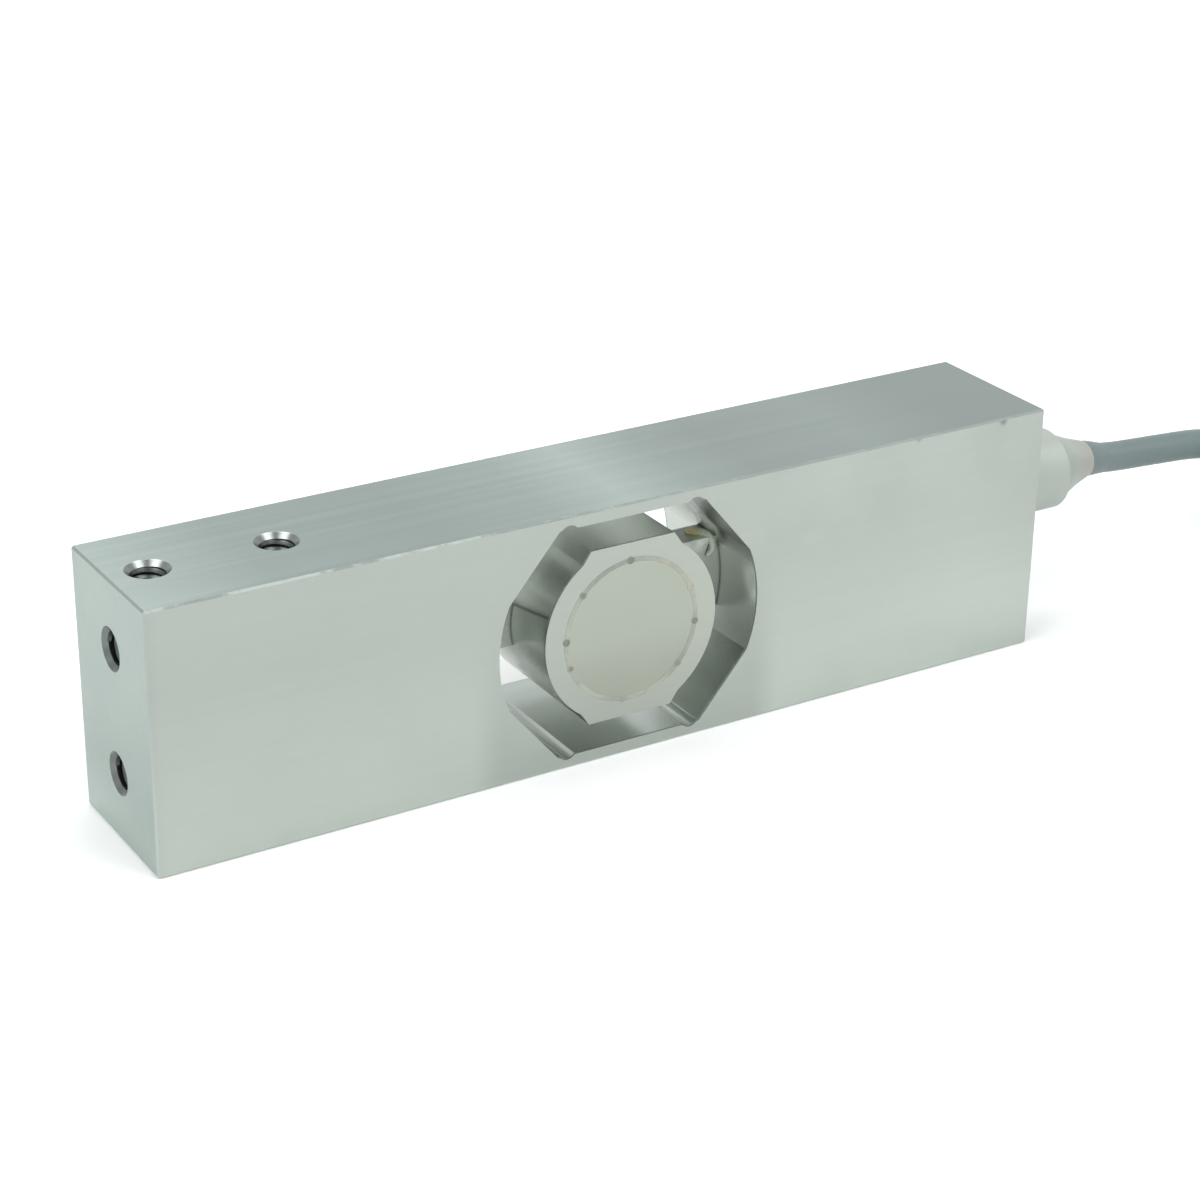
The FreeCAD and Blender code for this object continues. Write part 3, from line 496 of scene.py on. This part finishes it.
        # Painted light: the ends lighter towards the bottom.
        level = self.gained(level, self.product(self.on_end, self.past(self.at_z, 11, 2)), 1.2)
        colour = self.mixed(self.on_end, self.mixed(warm, STEEL_COLOUR, RING_COLOUR), END_COLOUR)
        return self.shaded(colour, level)

    def paint(self):
        """Colour of each kind of face, laid one over the other."""
        # Painted reflection: the top's grey level rises and falls along its length.
        top_reflection_level = self.product(self.ramp(self.along, TOP_REFLECTION_TONES),
                                 self.spread(self.streaks, 0.3, 0.7, 0.98, 1.02))
        # Painted shade in the threaded holes.
        hole_shade_colour = self.mixed(self.end_rim, RIM_SHADE_COLOUR, END_RIM_SHADE_COLOUR)
        hole_shade_colour = self.mixed(self.deep, hole_shade_colour, DEEP_SHADE_COLOUR)
        # Painted highlight on the upper edge bevel.
        edge_colour = self.shaded(EDGE_COLOUR, self.spread(self.edge_highlight, 0.0, 1.0, 0.80, 0.98))
        colour = self.mixed(self.outer, self.shaded(WALL_COLOUR, self.wall_level()), self.outer_colour())
        for face, face_colour in ((self.top, self.shaded(TOP_COLOUR, top_reflection_level)), (self.rim, hole_shade_colour),
                                  (self.corner, CORNER_COLOUR), (self.under, UNDER_EDGE_LIGHT_COLOUR),
                                  (self.edge, edge_colour)):
            colour = self.mixed(face, colour, face_colour)
        self.coloured(colour)

    def polish(self):
        """Roughness of each kind of face, and the brushed grain of the outer ones."""
        value = self.blended(self.outer, self.spread(self.broad, 0.3, 0.7, 0.24, 0.27),
                             self.spread(self.mottle, 0.3, 0.7, 0.36, 0.46))
        for face, face_value in ((self.upper_right, self.blended(self.bead_sheen, 0.38, 0.8)),
                                 (self.top, self.spread(self.streaks, 0.3, 0.7, 0.28, 0.34)),
                                 (self.rim, 0.3), (self.corner, 0.75), (self.under, 0.6),
                                 (self.edge, self.spread(self.edge_highlight, 0.0, 1.0, 0.8, 0.68))):
            value = self.blended(face, value, face_value)
        self.rough(value)
        fine = self.noise(2600, 2, (0.03, 1, 1), 0.6)
        height = self.maths("ADD", self.streaks, self.maths("MULTIPLY", fine, 0.5))
        self.bumped(self.product(height, self.outer), 0.004, 0.4)


COVER_COLOUR = (0.385, 0.41, 0.356)
COVER_LOW_COLOUR = (0.352, 0.371, 0.314)


def cover_finish():
    """Satin sheet disc, a little warmer than the block, darker towards its lower side."""
    steel = Finish("cover_steel_finish", COVER_COLOUR, 1.0, 0.4)
    at_z = steel.parts(steel.coordinates)[2]
    mottle = steel.noise(60, 4)
    fine = steel.noise(1500, 3, (1, 1, 0.1))
    colour = steel.mixed(steel.past(at_z, 20, 11), COVER_COLOUR, COVER_LOW_COLOUR)
    steel.coloured(steel.shaded(colour, steel.spread(mottle, 0.3, 0.7, 0.96, 1.03)))
    steel.rough(steel.spread(mottle, 0.3, 0.7, 0.36, 0.44))
    steel.bumped(fine, 0.002, 0.6)
    return steel.material


SEAM_COLOUR = (0.405, 0.436, 0.385)
SEAM_WARM_COLOUR = (0.41, 0.405, 0.34)
TACK_COLOUR = (0.215, 0.235, 0.205)
SEAM_TONES = (
    (-180, 0.96), (-159, 0.94), (-130, 1.0), (-112, 0.92), (-97, 0.84), (-78, 0.95), (-58, 1.0),
    (-42, 0.8), (-22, 0.86), (-6, 0.84), (10, 0.98), (24, 0.96), (45, 0.96), (62, 0.96),
    (75, 0.86), (92, 0.76), (116, 0.72), (139, 0.8), (150, 0.94), (180, 0.96))
SEAM_WARMTH = (
    (-180, 0.1), (-160, 0.6), (-140, 0.5), (-110, 0.2), (-80, 0.3), (-60, 0.7),
    (-20, 0.5), (0, 0.3), (20, 0.8), (55, 0.9), (75, 0.1), (180, 0.1))


def by_angle(stops):
    """Stops at angles in degrees, laid out from 0 to 1 round the circle."""
    return [((angle + 180) / 360, level) for angle, level in stops]


def weld_finish():
    """Fused seam that is mostly dressed flush, tinted grey, olive and light brown, with darker tacks."""
    steel = Finish("weld_finish", SEAM_COLOUR, 1.0, 0.4)
    stretches = steel.noise(260, 3)
    grain = steel.noise(1400, 3)
    at_x, at_y, at_z = steel.parts(steel.coordinates)
    angle = steel.maths("ARCTAN2", steel.maths("SUBTRACT", at_z, OPENING_HEIGHT * MM), at_x)
    around = steel.spread(angle, -math.pi, math.pi, smooth=False)
    seam = steel.mixed(steel.ramp(around, by_angle(SEAM_WARMTH)), SEAM_COLOUR, SEAM_WARM_COLOUR)
    seam = steel.shaded(seam, steel.product(steel.ramp(around, by_angle(SEAM_TONES)),
                                            steel.spread(stretches, 0.3, 0.7, 0.93, 1.05)))
    proud = steel.past(steel.maths("ABSOLUTE", at_y), BLOCK_HALF_WIDTH + 0.055, BLOCK_HALF_WIDTH + 0.095)
    colour = steel.mixed(proud, seam, TACK_COLOUR)
    steel.coloured(steel.shaded(colour, steel.spread(grain, 0.3, 0.7, 0.92, 1.05)))
    steel.rough(steel.spread(grain, 0.3, 0.7, 0.38, 0.5))
    steel.bumped(grain, 0.01, 0.4)
    return steel.material


GLAND_COLOUR = (0.47, 0.505, 0.465)
GLAND_MOUTH_COLOUR = (0.43, 0.395, 0.365)
GLAND_TINT = (88.5, 94)


def gland_finish():
    """Turned steel with fine rings, straw-coloured and pinkish where the cable leaves."""
    steel = Finish("gland_steel_finish", GLAND_COLOUR, 1.0, 0.36)
    at_x = steel.parts(steel.coordinates)[0]
    rings = steel.noise(2600, 2, (1, 0.01, 0.01))
    mottle = steel.noise(150, 3)
    tint = steel.maths("MULTIPLY", steel.past(at_x, *GLAND_TINT), 0.55)
    colour = steel.mixed(tint, GLAND_COLOUR, GLAND_MOUTH_COLOUR)
    steel.coloured(steel.shaded(colour, steel.spread(mottle, 0.3, 0.7, 0.95, 1.04)))
    steel.rough(steel.spread(mottle, 0.3, 0.7, 0.66, 0.74))
    steel.bumped(rings, 0.004, 0.4)
    return steel.material


THREAD_SHADE_COLOUR = (0.11, 0.12, 0.115)


def thread_finish():
    """Cut thread, painted dark for the shade inside its hole."""
    steel = Finish("thread_finish", THREAD_SHADE_COLOUR, 1.0, 0.35)
    grain = steel.noise(1500, 3)
    steel.coloured(steel.shaded(THREAD_SHADE_COLOUR, steel.spread(grain, 0.3, 0.7, 0.85, 1.08)))
    steel.rough(steel.spread(grain, 0.3, 0.7, 0.3, 0.42))
    return steel.material


# Sealant colours painted lighter as light for the bead's dim place; the olive grey is a painted highlight.
BEAD_COLOUR = (0.50, 0.50, 0.36)
BEAD_UPPER_COLOUR = (0.90, 0.80, 0.44)
BEAD_HIGHLIGHT_COLOUR = (0.70, 0.74, 0.61)
BEAD_PASSING = (18.4, 19.2)


def bead_finish():
    """Dull sealant, gold-brown at its upper end and passing to olive grey, a painted highlight; both tones
    are painted lighter for its dim place.
    """
    resin = Finish("sealant_finish", BEAD_COLOUR, 0.0, 0.35)
    at_x = resin.parts(resin.coordinates)[0]
    cloud = resin.noise(700, 3)
    colour = resin.mixed(resin.past(at_x, *BEAD_PASSING), BEAD_UPPER_COLOUR, BEAD_HIGHLIGHT_COLOUR)
    resin.coloured(resin.shaded(colour, resin.spread(cloud, 0.3, 0.7, 0.75, 1.15)))
    resin.rough(resin.spread(cloud, 0.3, 0.7, 0.3, 0.5))
    resin.bumped(cloud, 0.05, 0.5)
    return resin.material


JACKET_COLOUR = (0.145, 0.185, 0.18)
JACKET_DARK_COLOUR = (0.125, 0.165, 0.165)


def jacket_finish():
    """Satin cable jacket with fine grain and a darker tone in soft patches."""
    jacket = Finish("cable_jacket_finish", JACKET_COLOUR, 0.0, 0.42)
    broad = jacket.noise(40, 3)
    grain = jacket.noise(1800, 3)
    colour = jacket.mixed(jacket.spread(broad, 0.35, 0.65), JACKET_COLOUR, JACKET_DARK_COLOUR)
    jacket.coloured(jacket.shaded(colour, jacket.spread(grain, 0.3, 0.7, 0.96, 1.04)))
    jacket.rough(jacket.spread(grain, 0.3, 0.7, 0.38, 0.5))
    jacket.bumped(grain, 0.01, 0.5)
    return jacket.material


INSULATION_COLOURS = {
    "red": (0.50, 0.015, 0.015),
    "black": (0.012, 0.012, 0.012),
    "green": (0.01, 0.20, 0.04),
    "white": (0.72, 0.72, 0.68),
}
BARE_WIRE_COLOUR = (0.62, 0.60, 0.56)
STRIPPED_FROM = 243.9


def insulation_finish(name, colour):
    """Glossy wire insulation with a bare tinned end past the stripping line."""
    wire = Finish(name, colour, 0.0, 0.35)
    tail_turn = (0, 0, math.radians(TAIL_ANGLE))
    along = wire.parts(wire.stretched((1, 1, 1), tail_turn))[0]
    grain = wire.noise(900, 3)
    bare = wire.past(along, STRIPPED_FROM, STRIPPED_FROM + 0.1)
    covered = wire.shaded(colour, wire.spread(grain, 0.3, 0.7, 0.9, 1.08))
    wire.coloured(wire.mixed(bare, covered, BARE_WIRE_COLOUR))
    wire.metal(bare)
    wire.rough(wire.spread(grain, 0.3, 0.7, 0.3, 0.42))
    wire.bumped(wire.noise(2400, 1, (0.08, 1, 1), 0.5, tail_turn), 0.03, 0.4)
    return wire.material


BAND_COLOUR = (0.02, 0.02, 0.022)
BAND_DARK_COLOUR = (0.012, 0.012, 0.014)
BAND_PALE_COLOUR = (0.045, 0.045, 0.05)


def band_finish():
    """Woven black band."""
    band = Finish("tie_band_finish", BAND_COLOUR, 0.0, 0.8)
    weave = band.add("ShaderNodeTexWave", wave_type="BANDS", bands_direction="DIAGONAL")
    band.feed(weave.inputs["Vector"], band.coordinates)
    for name, value in (("Scale", 420), ("Distortion", 1.5), ("Detail", 2)):
        weave.inputs[name].default_value = value
    threads = weave.outputs["Fac"]
    band.coloured(band.mixed(threads, BAND_DARK_COLOUR, BAND_PALE_COLOUR))
    band.rough(band.spread(threads, 0, 1, 0.7, 0.92))
    band.bumped(threads, 0.08, 0.7)
    return band.material


FILM_COLOUR = (0.62, 0.36, 0.07)
FILM_FLAT_COLOUR = (0.60, 0.34, 0.07)
FOIL_COLOUR = (0.70, 0.55, 0.42)
FOIL_RAISED = (1.12, 1.16)


def gauge_finish():
    """Amber film with bright foil raised on it."""
    film = Finish("gauge_film_finish", FILM_COLOUR, 0.0, 0.35)
    at_y = film.parts(film.coordinates)[1]
    raised = film.past(film.maths("ABSOLUTE", at_y), *FOIL_RAISED)
    grain = film.noise(1200, 3)
    tone = film.mixed(raised, FILM_FLAT_COLOUR, FOIL_COLOUR)
    film.coloured(film.shaded(tone, film.spread(grain, 0.3, 0.7, 0.9, 1.05)))
    film.metal(raised)
    film.rough(film.spread(grain, 0.3, 0.7, 0.25, 0.4))
    return film.material


GRAINED_LOOKS = {
    "seal_rubber": ((0.025, 0.025, 0.025), (0.035, 0.035, 0.035), 0, 0.7),
    "ferrule_brass": ((0.70, 0.50, 0.22), (0.62, 0.42, 0.18), 1, 0.3),
    "potting_resin": ((0.04, 0.03, 0.02), (0.06, 0.045, 0.03), 0, 0.2),
    "board": ((0.03, 0.16, 0.06), (0.04, 0.20, 0.08), 0, 0.35),
    "resistor": ((0.16, 0.28, 0.38), (0.20, 0.32, 0.42), 0, 0.4),
    "lead_wire": ((0.66, 0.62, 0.55), (0.58, 0.54, 0.48), 1, 0.3, 2500),
    "shrink_sleeve": ((0.018, 0.018, 0.02), (0.025, 0.025, 0.028), 0, 0.38),
}


def grained_finish(name, colour, other, metallic, roughness, scale=600):
    """Finish with fine grain and a second tone in soft patches."""
    grained = Finish(name, colour, metallic, roughness)
    patches = grained.noise(scale / 6, 3)
    grain = grained.noise(scale, 3)
    tone = grained.mixed(grained.spread(patches, 0.35, 0.65), colour, other)
    grained.coloured(grained.shaded(tone, grained.spread(grain, 0.3, 0.7, 0.93, 1.05)))
    grained.rough(grained.spread(grain, 0.3, 0.7, roughness - 0.06, roughness + 0.06))
    grained.bumped(grain, 0.01, 0.5)
    return grained.material


THREAD_FINISH = thread_finish()
WELD_FINISH = weld_finish()
BEAD_FINISH = bead_finish()
FINISHES = {
    "block_steel": BlockFinish().material,
    "cover_steel": cover_finish(),
    "gland_steel": gland_finish(),
    "cable_jacket": jacket_finish(),
    "gauge_film": gauge_finish(),
    "tie_band": band_finish(),
}
for slot, look in GRAINED_LOOKS.items():
    FINISHES[slot] = grained_finish(slot + "_finish", *look)
for colour_name, colour in INSULATION_COLOURS.items():
    slot = "insulation_" + colour_name
    FINISHES[slot] = insulation_finish(slot + "_finish", colour)


def dress_nodes():
    """Give every carried-over node the finish of its material slot."""
    slots = {part["node"]: part["material_slot"] for part in frame["record"]["subparts"]}
    for name, node in frame["nodes"].items():
        for place in node.material_slots:
            place.material = FINISHES[slots[name]]


# Modelled pieces


def start_clean():
    """Deselect everything."""
    for thing in list(bpy.context.selected_objects):
        thing.select_set(False)


def picked(piece):
    """Select one piece alone and make it the active one."""
    start_clean()
    piece.select_set(True)
    bpy.context.view_layer.objects.active = piece


def started(add, **settings):
    """Primitive that a piece is shaped from."""
    start_clean()
    add(**settings)
    return bpy.context.object


def started_square():
    return started(bpy.ops.mesh.primitive_plane_add, size=1, location=(0, 0, 0))


def started_disc(sides, radius):
    return started(bpy.ops.mesh.primitive_circle_add, vertices=sides, radius=radius * MM,
                   fill_type="NGON", location=(0, 0, 0))


def finished(piece, name, finish):
    """Put a modelled piece's place into its mesh, then name it and give it its finish."""
    picked(piece)
    bpy.ops.object.transform_apply(location=True, rotation=True, scale=True)
    piece.name = name
    piece.data.name = name
    piece.data.materials.clear()
    piece.data.materials.append(finish)
    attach(piece, "root")


def applied(piece, kind, **settings):
    """Add a modifier to a piece and apply it."""
    picked(piece)
    modifier = piece.modifiers.new(kind.lower(), kind)
    for name, value in settings.items():
        setattr(modifier, name, value)
    bpy.ops.object.modifier_apply(modifier=modifier.name)


def edited(piece, *steps):
    """Run steps on a piece in edit mode with everything selected."""
    picked(piece)
    bpy.ops.object.mode_set(mode="EDIT")
    bpy.ops.mesh.select_all(action="SELECT")
    for step in steps:
        step()
    bpy.ops.object.mode_set(mode="OBJECT")


def extruded(way):
    """Extrude what is selected by a way in metres."""
    bpy.ops.mesh.extrude_region_move(TRANSFORM_OT_translate={"value": way})


def faces_removed():
    """Leave only the edges of what is selected."""
    bpy.ops.mesh.delete(type="ONLY_FACE")


def merged_outward():
    """Merge doubles and turn all faces outwards."""
    bpy.ops.mesh.select_all(action="SELECT")
    bpy.ops.mesh.remove_doubles(threshold=0.001 * MM)
    bpy.ops.mesh.normals_make_consistent(inside=False)


def smoothed(piece, angle):
    """Shade a piece smooth, apart from edges sharper than an angle in degrees."""
    picked(piece)
    bpy.ops.object.shade_smooth_by_angle(angle=math.radians(angle))


def copied(piece):
    """Copy of a piece with a mesh of its own."""
    other = piece.copy()
    other.data = piece.data.copy()
    bpy.context.scene.collection.objects.link(other)
    return other


def discarded(piece):
    mesh = piece.data
    bpy.data.objects.remove(piece)
    bpy.data.meshes.remove(mesh)


THREAD_ROOT = 2.49
THREAD_CREST = 2.1
THREAD_PITCH = 1.0
THREAD_START = 0.55
THREAD_STEPS = 36
THREAD_CORNERS = ((THREAD_ROOT, 0.05), (THREAD_CREST, 0.42), (THREAD_ROOT, 0.93), (THREAD_CREST, 0.56))
RUN_IN_START = 0.1
RUN_IN_LEAST = 0.02
TOP_DEPTH = 6.3
BOTTOM_DEPTH = 12
END_DEPTH = 14
THREADED_HOLES = (
    (TOP_DEPTH, (0, 0, -1), (("top_thread_1", (-69, 0, BLOCK_HEIGHT)),
                             ("top_thread_2", (-50, 0, BLOCK_HEIGHT)))),
    (BOTTOM_DEPTH, (0, 0, 1), (("bottom_thread_1", (50, 0, 0)),
                               ("bottom_thread_2", (69, 0, 0)))),
    (END_DEPTH, (1, 0, 0), (("end_thread_1", (-BLOCK_HALF_LENGTH, 0, 10.5)),
                            ("end_thread_2", (-BLOCK_HALF_LENGTH, 0, 29.5)))),
)


def make_ridge(depth):
    """Helical ridge of a threaded hole, growing out of the wall at its mouth."""
    turns = int((depth - THREAD_START) / THREAD_PITCH)
    ridge = started_square()
    for vertex, (radius, height) in zip(ridge.data.vertices, THREAD_CORNERS):
        vertex.co = Vector((radius, 0, height)) * MM
    edited(ridge, faces_removed)
    applied(ridge, "SCREW", axis="Z", angle=2 * math.pi, screw_offset=THREAD_PITCH * MM, iterations=turns,
            steps=THREAD_STEPS, render_steps=THREAD_STEPS, use_merge_vertices=False)
    for vertex in ridge.data.vertices:
        radius = vertex.co.xy.length / MM
        run_in = min(max((vertex.co.z / MM - RUN_IN_START) / THREAD_PITCH, RUN_IN_LEAST), 1)
        shrunk = THREAD_ROOT - (THREAD_ROOT - radius) * run_in
        vertex.co.xy *= shrunk / radius

    def ends_closed():
        bpy.ops.mesh.select_all(action="DESELECT")
        bpy.ops.mesh.select_non_manifold(extend=False, use_boundary=True, use_wire=False, use_verts=False,
                                         use_multi_face=False, use_non_contiguous=False)
        bpy.ops.mesh.edge_face_add()

    edited(ridge, ends_closed, merged_outward)
    smoothed(ridge, 35)
    return ridge


def make_threads():
    for depth, inward, holes in THREADED_HOLES:
        ridge = make_ridge(depth)
        for name, mouth in holes:
            thread = copied(ridge)
            thread.location = (Vector(mouth) + Vector(inward) * THREAD_START) * MM
            thread.rotation_euler = Vector(inward).to_track_quat("Z", "Y").to_euler()
            finished(thread, name, THREAD_FINISH)
        discarded(ridge)


SEAM_RADIUS = 11.0
SEAM_WIDTH = 0.75
SEAM_HEIGHT = 0.08
SEAM_ROUNDING = 0.45
SEAM_STEPS = 240
SEAM_UNEVENNESS = 0.012
TACK_RADIUS = 0.58
TACK_SIDES = 28
TACK_RISE = 0.065
TACK_STEPS = ((0.10, 0.025), (0.12, 0.015), (0.12, 0.01), (0.10, 0.004))
TACKS = ((92, 1.0), (139, 0.85), (178, 1.0), (-159, 0.75), (-97, 0.55), (-42, 0.65), (-6, 0.9), (24, 0.5))


def make_tack():
    """Tack spot: a low round dome."""
    tack = started_disc(TACK_SIDES, TACK_RADIUS)

    def drawn_in(inward, rise):
        bpy.ops.mesh.inset(thickness=inward * MM)
        bpy.ops.transform.translate(value=(0, 0, rise * MM))

    edited(tack,
           lambda: extruded((0, 0, TACK_RISE * MM)),
           *[lambda step=step: drawn_in(*step) for step in TACK_STEPS],
           merged_outward)
    return tack


def make_seam():
    """Rounded rectangle turned about the Z axis."""
    seam = started_square()

    def stood_up():
        bpy.ops.transform.rotate(value=math.pi / 2, orient_axis="X", center_override=(0, 0, 0))
        bpy.ops.transform.resize(value=(SEAM_WIDTH * MM, 1, SEAM_HEIGHT * MM), center_override=(0, 0, 0))
        bpy.ops.transform.translate(value=(SEAM_RADIUS * MM, 0, 0))

    def rounded():
        bpy.ops.mesh.bevel(offset=SEAM_HEIGHT * SEAM_ROUNDING * MM, segments=3, affect="VERTICES",
                           offset_type="OFFSET")
        bpy.ops.mesh.select_all(action="SELECT")

    def turned():
        bpy.ops.mesh.select_all(action="SELECT")
        bpy.ops.mesh.spin(steps=SEAM_STEPS, angle=2 * math.pi, center=(0, 0, 0), axis=(0, 0, 1))

    edited(seam, stood_up)
    edited(seam, rounded, faces_removed, turned, merged_outward,
           lambda: bpy.ops.transform.vertex_random(offset=SEAM_UNEVENNESS * MM, normal=0.6, seed=3))
    return seam


def make_weld():
    """Fused seam of a cover with its tack spots, lying flat."""
    seam = make_seam()
    tack = make_tack()
    spots = []
    for angle, height in TACKS:
        turn = math.radians(angle)
        spot = copied(tack)
        spot.location = Vector((math.cos(turn), math.sin(turn), 0)) * SEAM_RADIUS * MM
        spot.rotation_euler = (0, 0, turn)
        spot.scale = (1, 1, height)
        spots.append(spot)
    discarded(tack)
    picked(seam)
    for spot in spots:
        spot.select_set(True)
    bpy.ops.object.join()
    bpy.ops.object.shade_smooth()
    return seam


def make_welds():
    seam = make_weld()
    for name, face, turn in (("front_weld", -1, 0), ("back_weld", 1, math.pi)):
        weld = copied(seam)
        weld.location = Vector((0, face * BLOCK_HALF_WIDTH, OPENING_HEIGHT)) * MM
        weld.rotation_euler = (math.pi / 2, 0, turn)
        finished(weld, name, WELD_FINISH)
    discarded(seam)


BOOT_DEPTH = 1.2
BOOT_DROOP = 9.2
BOOT_WALL = 0.56
BOOT_SIDES = 64
BOOT_FIRST_STEP = 0.2
BOOT_STEPS = ((0.6, 0.0), (1.0, -0.02), (1.2, -0.14), (1.2, -0.18), (0.8, -0.1))
BOOT_INNER_RADIUS = 2.4
BOOT_LIP = 0.03


def make_boot():
    """Soft tapered end of the cable's seal, from inside the gland's mouth on to the jacket."""
    boot = started(bpy.ops.mesh.primitive_cylinder_add, vertices=BOOT_SIDES, end_fill_type="NOTHING",
                   radius=(BOOT_INNER_RADIUS + BOOT_WALL) * MM, depth=BOOT_FIRST_STEP * MM,
                   location=(0, 0, BOOT_FIRST_STEP / 2 * MM))

    def chosen(pick):
        """Select the vertices at the lowest or highest level, and give their radius."""
        net = bmesh.from_edit_mesh(boot.data)
        level = pick(v.co.z for v in net.verts)
        for vertex in net.verts:
            vertex.select = abs(level - vertex.co.z) < 0.01 * MM
        net.select_mode = {"VERT"}
        net.select_flush(True)
        bmesh.update_edit_mesh(boot.data)
        return max(v.co.xy.length for v in net.verts if v.select) / MM

    def drawn_out(step, growth):
        """Extrude the far rim by a step and change its radius."""
        radius = chosen(max)
        extruded((0, 0, step * MM))
        share = (radius + growth) / radius
        bpy.ops.transform.resize(value=(share, share, 1), center_override=(0, 0, 0))

    def closed_in():
        """Turn the far rim in to the jacket and close it."""
        drawn_out(BOOT_LIP, BOOT_INNER_RADIUS - chosen(max))
        bpy.ops.mesh.edge_face_add()

    def near_end_closed():
        chosen(min)
        bpy.ops.mesh.edge_face_add()

    edited(boot, *[lambda step=step: drawn_out(*step) for step in BOOT_STEPS], closed_in, near_end_closed,
           merged_outward)
    droop = math.radians(BOOT_DROOP)
    heading = Vector((math.cos(droop), 0, -math.sin(droop)))
    boot.location = (Vector(CABLE_SEEN[0]) - heading * BOOT_DEPTH) * MM
    boot.rotation_euler = (0, math.pi / 2 + droop, 0)
    smoothed(boot, 50)
    finished(boot, "cable_boot", FINISHES["cable_jacket"])


BEAD_SIDES = 16
BEAD_LEVELS = 2
BEAD_UNEVENNESS = 0.03
BEAD_PATH = (
    (17.6, 0.9, 26.5, 0.25), (17.9, 0.6, 26.6, 0.55), (18.5, 0.0, 26.7, 0.7), (19.3, -0.8, 26.65, 0.72),
    (19.95, -1.7, 26.5, 0.7), (20.3, -2.35, 26.0, 0.66), (20.4, -2.6, 25.2, 0.6), (20.1, -2.6, 24.4, 0.52),
    (19.6, -2.55, 23.8, 0.4), (19.2, -2.5, 23.6, 0.2))


def make_bead():
    """Bead of amber sealant that runs over the web's upper edge, drawn out ring by ring."""
    places = [Vector(p[:3]) for p in BEAD_PATH]
    widths = [p[3] for p in BEAD_PATH]
    ways = [(b - a).normalized() for a, b in zip(places, places[1:])]
    headings = [ways[0]] + [(a + b).normalized() for a, b in zip(ways, ways[1:])] + [ways[-1]]
    bead = started_disc(BEAD_SIDES, widths[0])

    def swung(before, after, place):
        """Turn the end ring from one heading to the next about its own centre."""
        axis = before.cross(after)
        if axis.length < 1e-6:
            return
        turn = Matrix.Rotation(before.angle(after), 3, axis.normalized()).to_4x4()
        centre = Matrix.Translation(place * MM)
        net = bmesh.from_edit_mesh(bead.data)
        net.transform(centre @ turn @ centre.inverted(), filter={"SELECT"})
        bmesh.update_edit_mesh(bead.data)

    def roughened():
        """Move the points at random, put in a fixed order first so that each run moves them alike."""
        bpy.ops.mesh.sort_elements(type="CURSOR_DISTANCE", elements={"VERT"})
        bpy.ops.transform.vertex_random(offset=BEAD_UNEVENNESS * MM, normal=1.0, seed=5)

    def drawn_on(i):
        extruded((places[i] - places[i - 1]) * MM)
        grown = widths[i] / widths[i - 1]
        bpy.ops.transform.resize(value=(grown, grown, grown), center_override=places[i] * MM)
        swung(headings[i - 1], headings[i], places[i])

    edited(bead,
           lambda: bpy.ops.transform.translate(value=places[0] * MM),
           lambda: swung(Vector((0, 0, 1)), headings[0], places[0]),
           *[lambda i=i: drawn_on(i) for i in range(1, len(places))],
           merged_outward)
    applied(bead, "SUBSURF", levels=BEAD_LEVELS, render_levels=BEAD_LEVELS)
    edited(bead, roughened)
    bpy.ops.object.shade_smooth()
    finished(bead, "sealant_bead", BEAD_FINISH)


cable.data.materials.append(FINISHES["cable_jacket"])
dress_nodes()
make_threads()
make_welds()
make_boot()
make_bead()

# Floor, background and light: a soft box above each side of the camera and one behind the part

FLOOR_SIZE = 6
FLOOR_GAP = 0.01
FLOOR_COLOUR = (0.93, 0.93, 0.93)
WORLD_STOPS = ((0.0, (0.95, 0.98, 0.985)), (0.42, (0.87, 0.91, 0.92)), (0.62, (0.62, 0.65, 0.655)),
               (0.85, (0.42, 0.44, 0.44)), (1.0, (0.38, 0.395, 0.395)))
SOFTBOXES = (
    ("left_softbox", (-1.75, -0.25, 2.35), (0, 0, 0), 1.8, 1.5, 38),
    ("right_softbox", (1.10, -1.45, 2.35), (0, 0, 0), 1.8, 1.5, 38),
    ("back_softbox", (0.7, 1.6, 2.8), (0.1, 0.2, 0), 2.2, 1.4, 34),
)


def make_floor():
    floor = started(bpy.ops.mesh.primitive_plane_add, size=FLOOR_SIZE, location=(0, 0, -FLOOR_GAP * MM))
    floor.name = "floor"
    floor.data.materials.append(Finish("floor_paper", FLOOR_COLOUR, 0.0, 0.9).material)


def make_light(name, place, target, width, height, power):
    data = bpy.data.lights.new(name, "AREA")
    data.shape = "RECTANGLE"
    data.size = width
    data.size_y = height
    data.energy = power
    light = bpy.data.objects.new(name, data)
    light.location = place
    light.rotation_euler = (Vector(target) - Vector(place)).to_track_quat("-Z", "Y").to_euler()
    bpy.context.scene.collection.objects.link(light)


def make_world():
    """Pale room, brightest at the horizon and dimmer overhead."""
    world = bpy.data.worlds.new("studio")
    world.use_nodes = True
    tree = world.node_tree
    direction = tree.nodes.new("ShaderNodeTexCoord").outputs["Generated"]
    split = tree.nodes.new("ShaderNodeSeparateXYZ")
    tree.links.new(direction, split.inputs[0])
    ramp = tree.nodes.new("ShaderNodeValToRGB")
    set_stops(ramp.color_ramp, WORLD_STOPS)
    tree.links.new(split.outputs[2], ramp.inputs[0])
    background = tree.nodes["Background"]
    tree.links.new(ramp.outputs[0], background.inputs["Color"])
    background.inputs["Strength"].default_value = 1.0
    bpy.context.scene.world = world


make_floor()
make_world()
for softbox in SOFTBOXES:
    make_light(*softbox)
bpy.context.scene.view_settings.view_transform = "Standard"
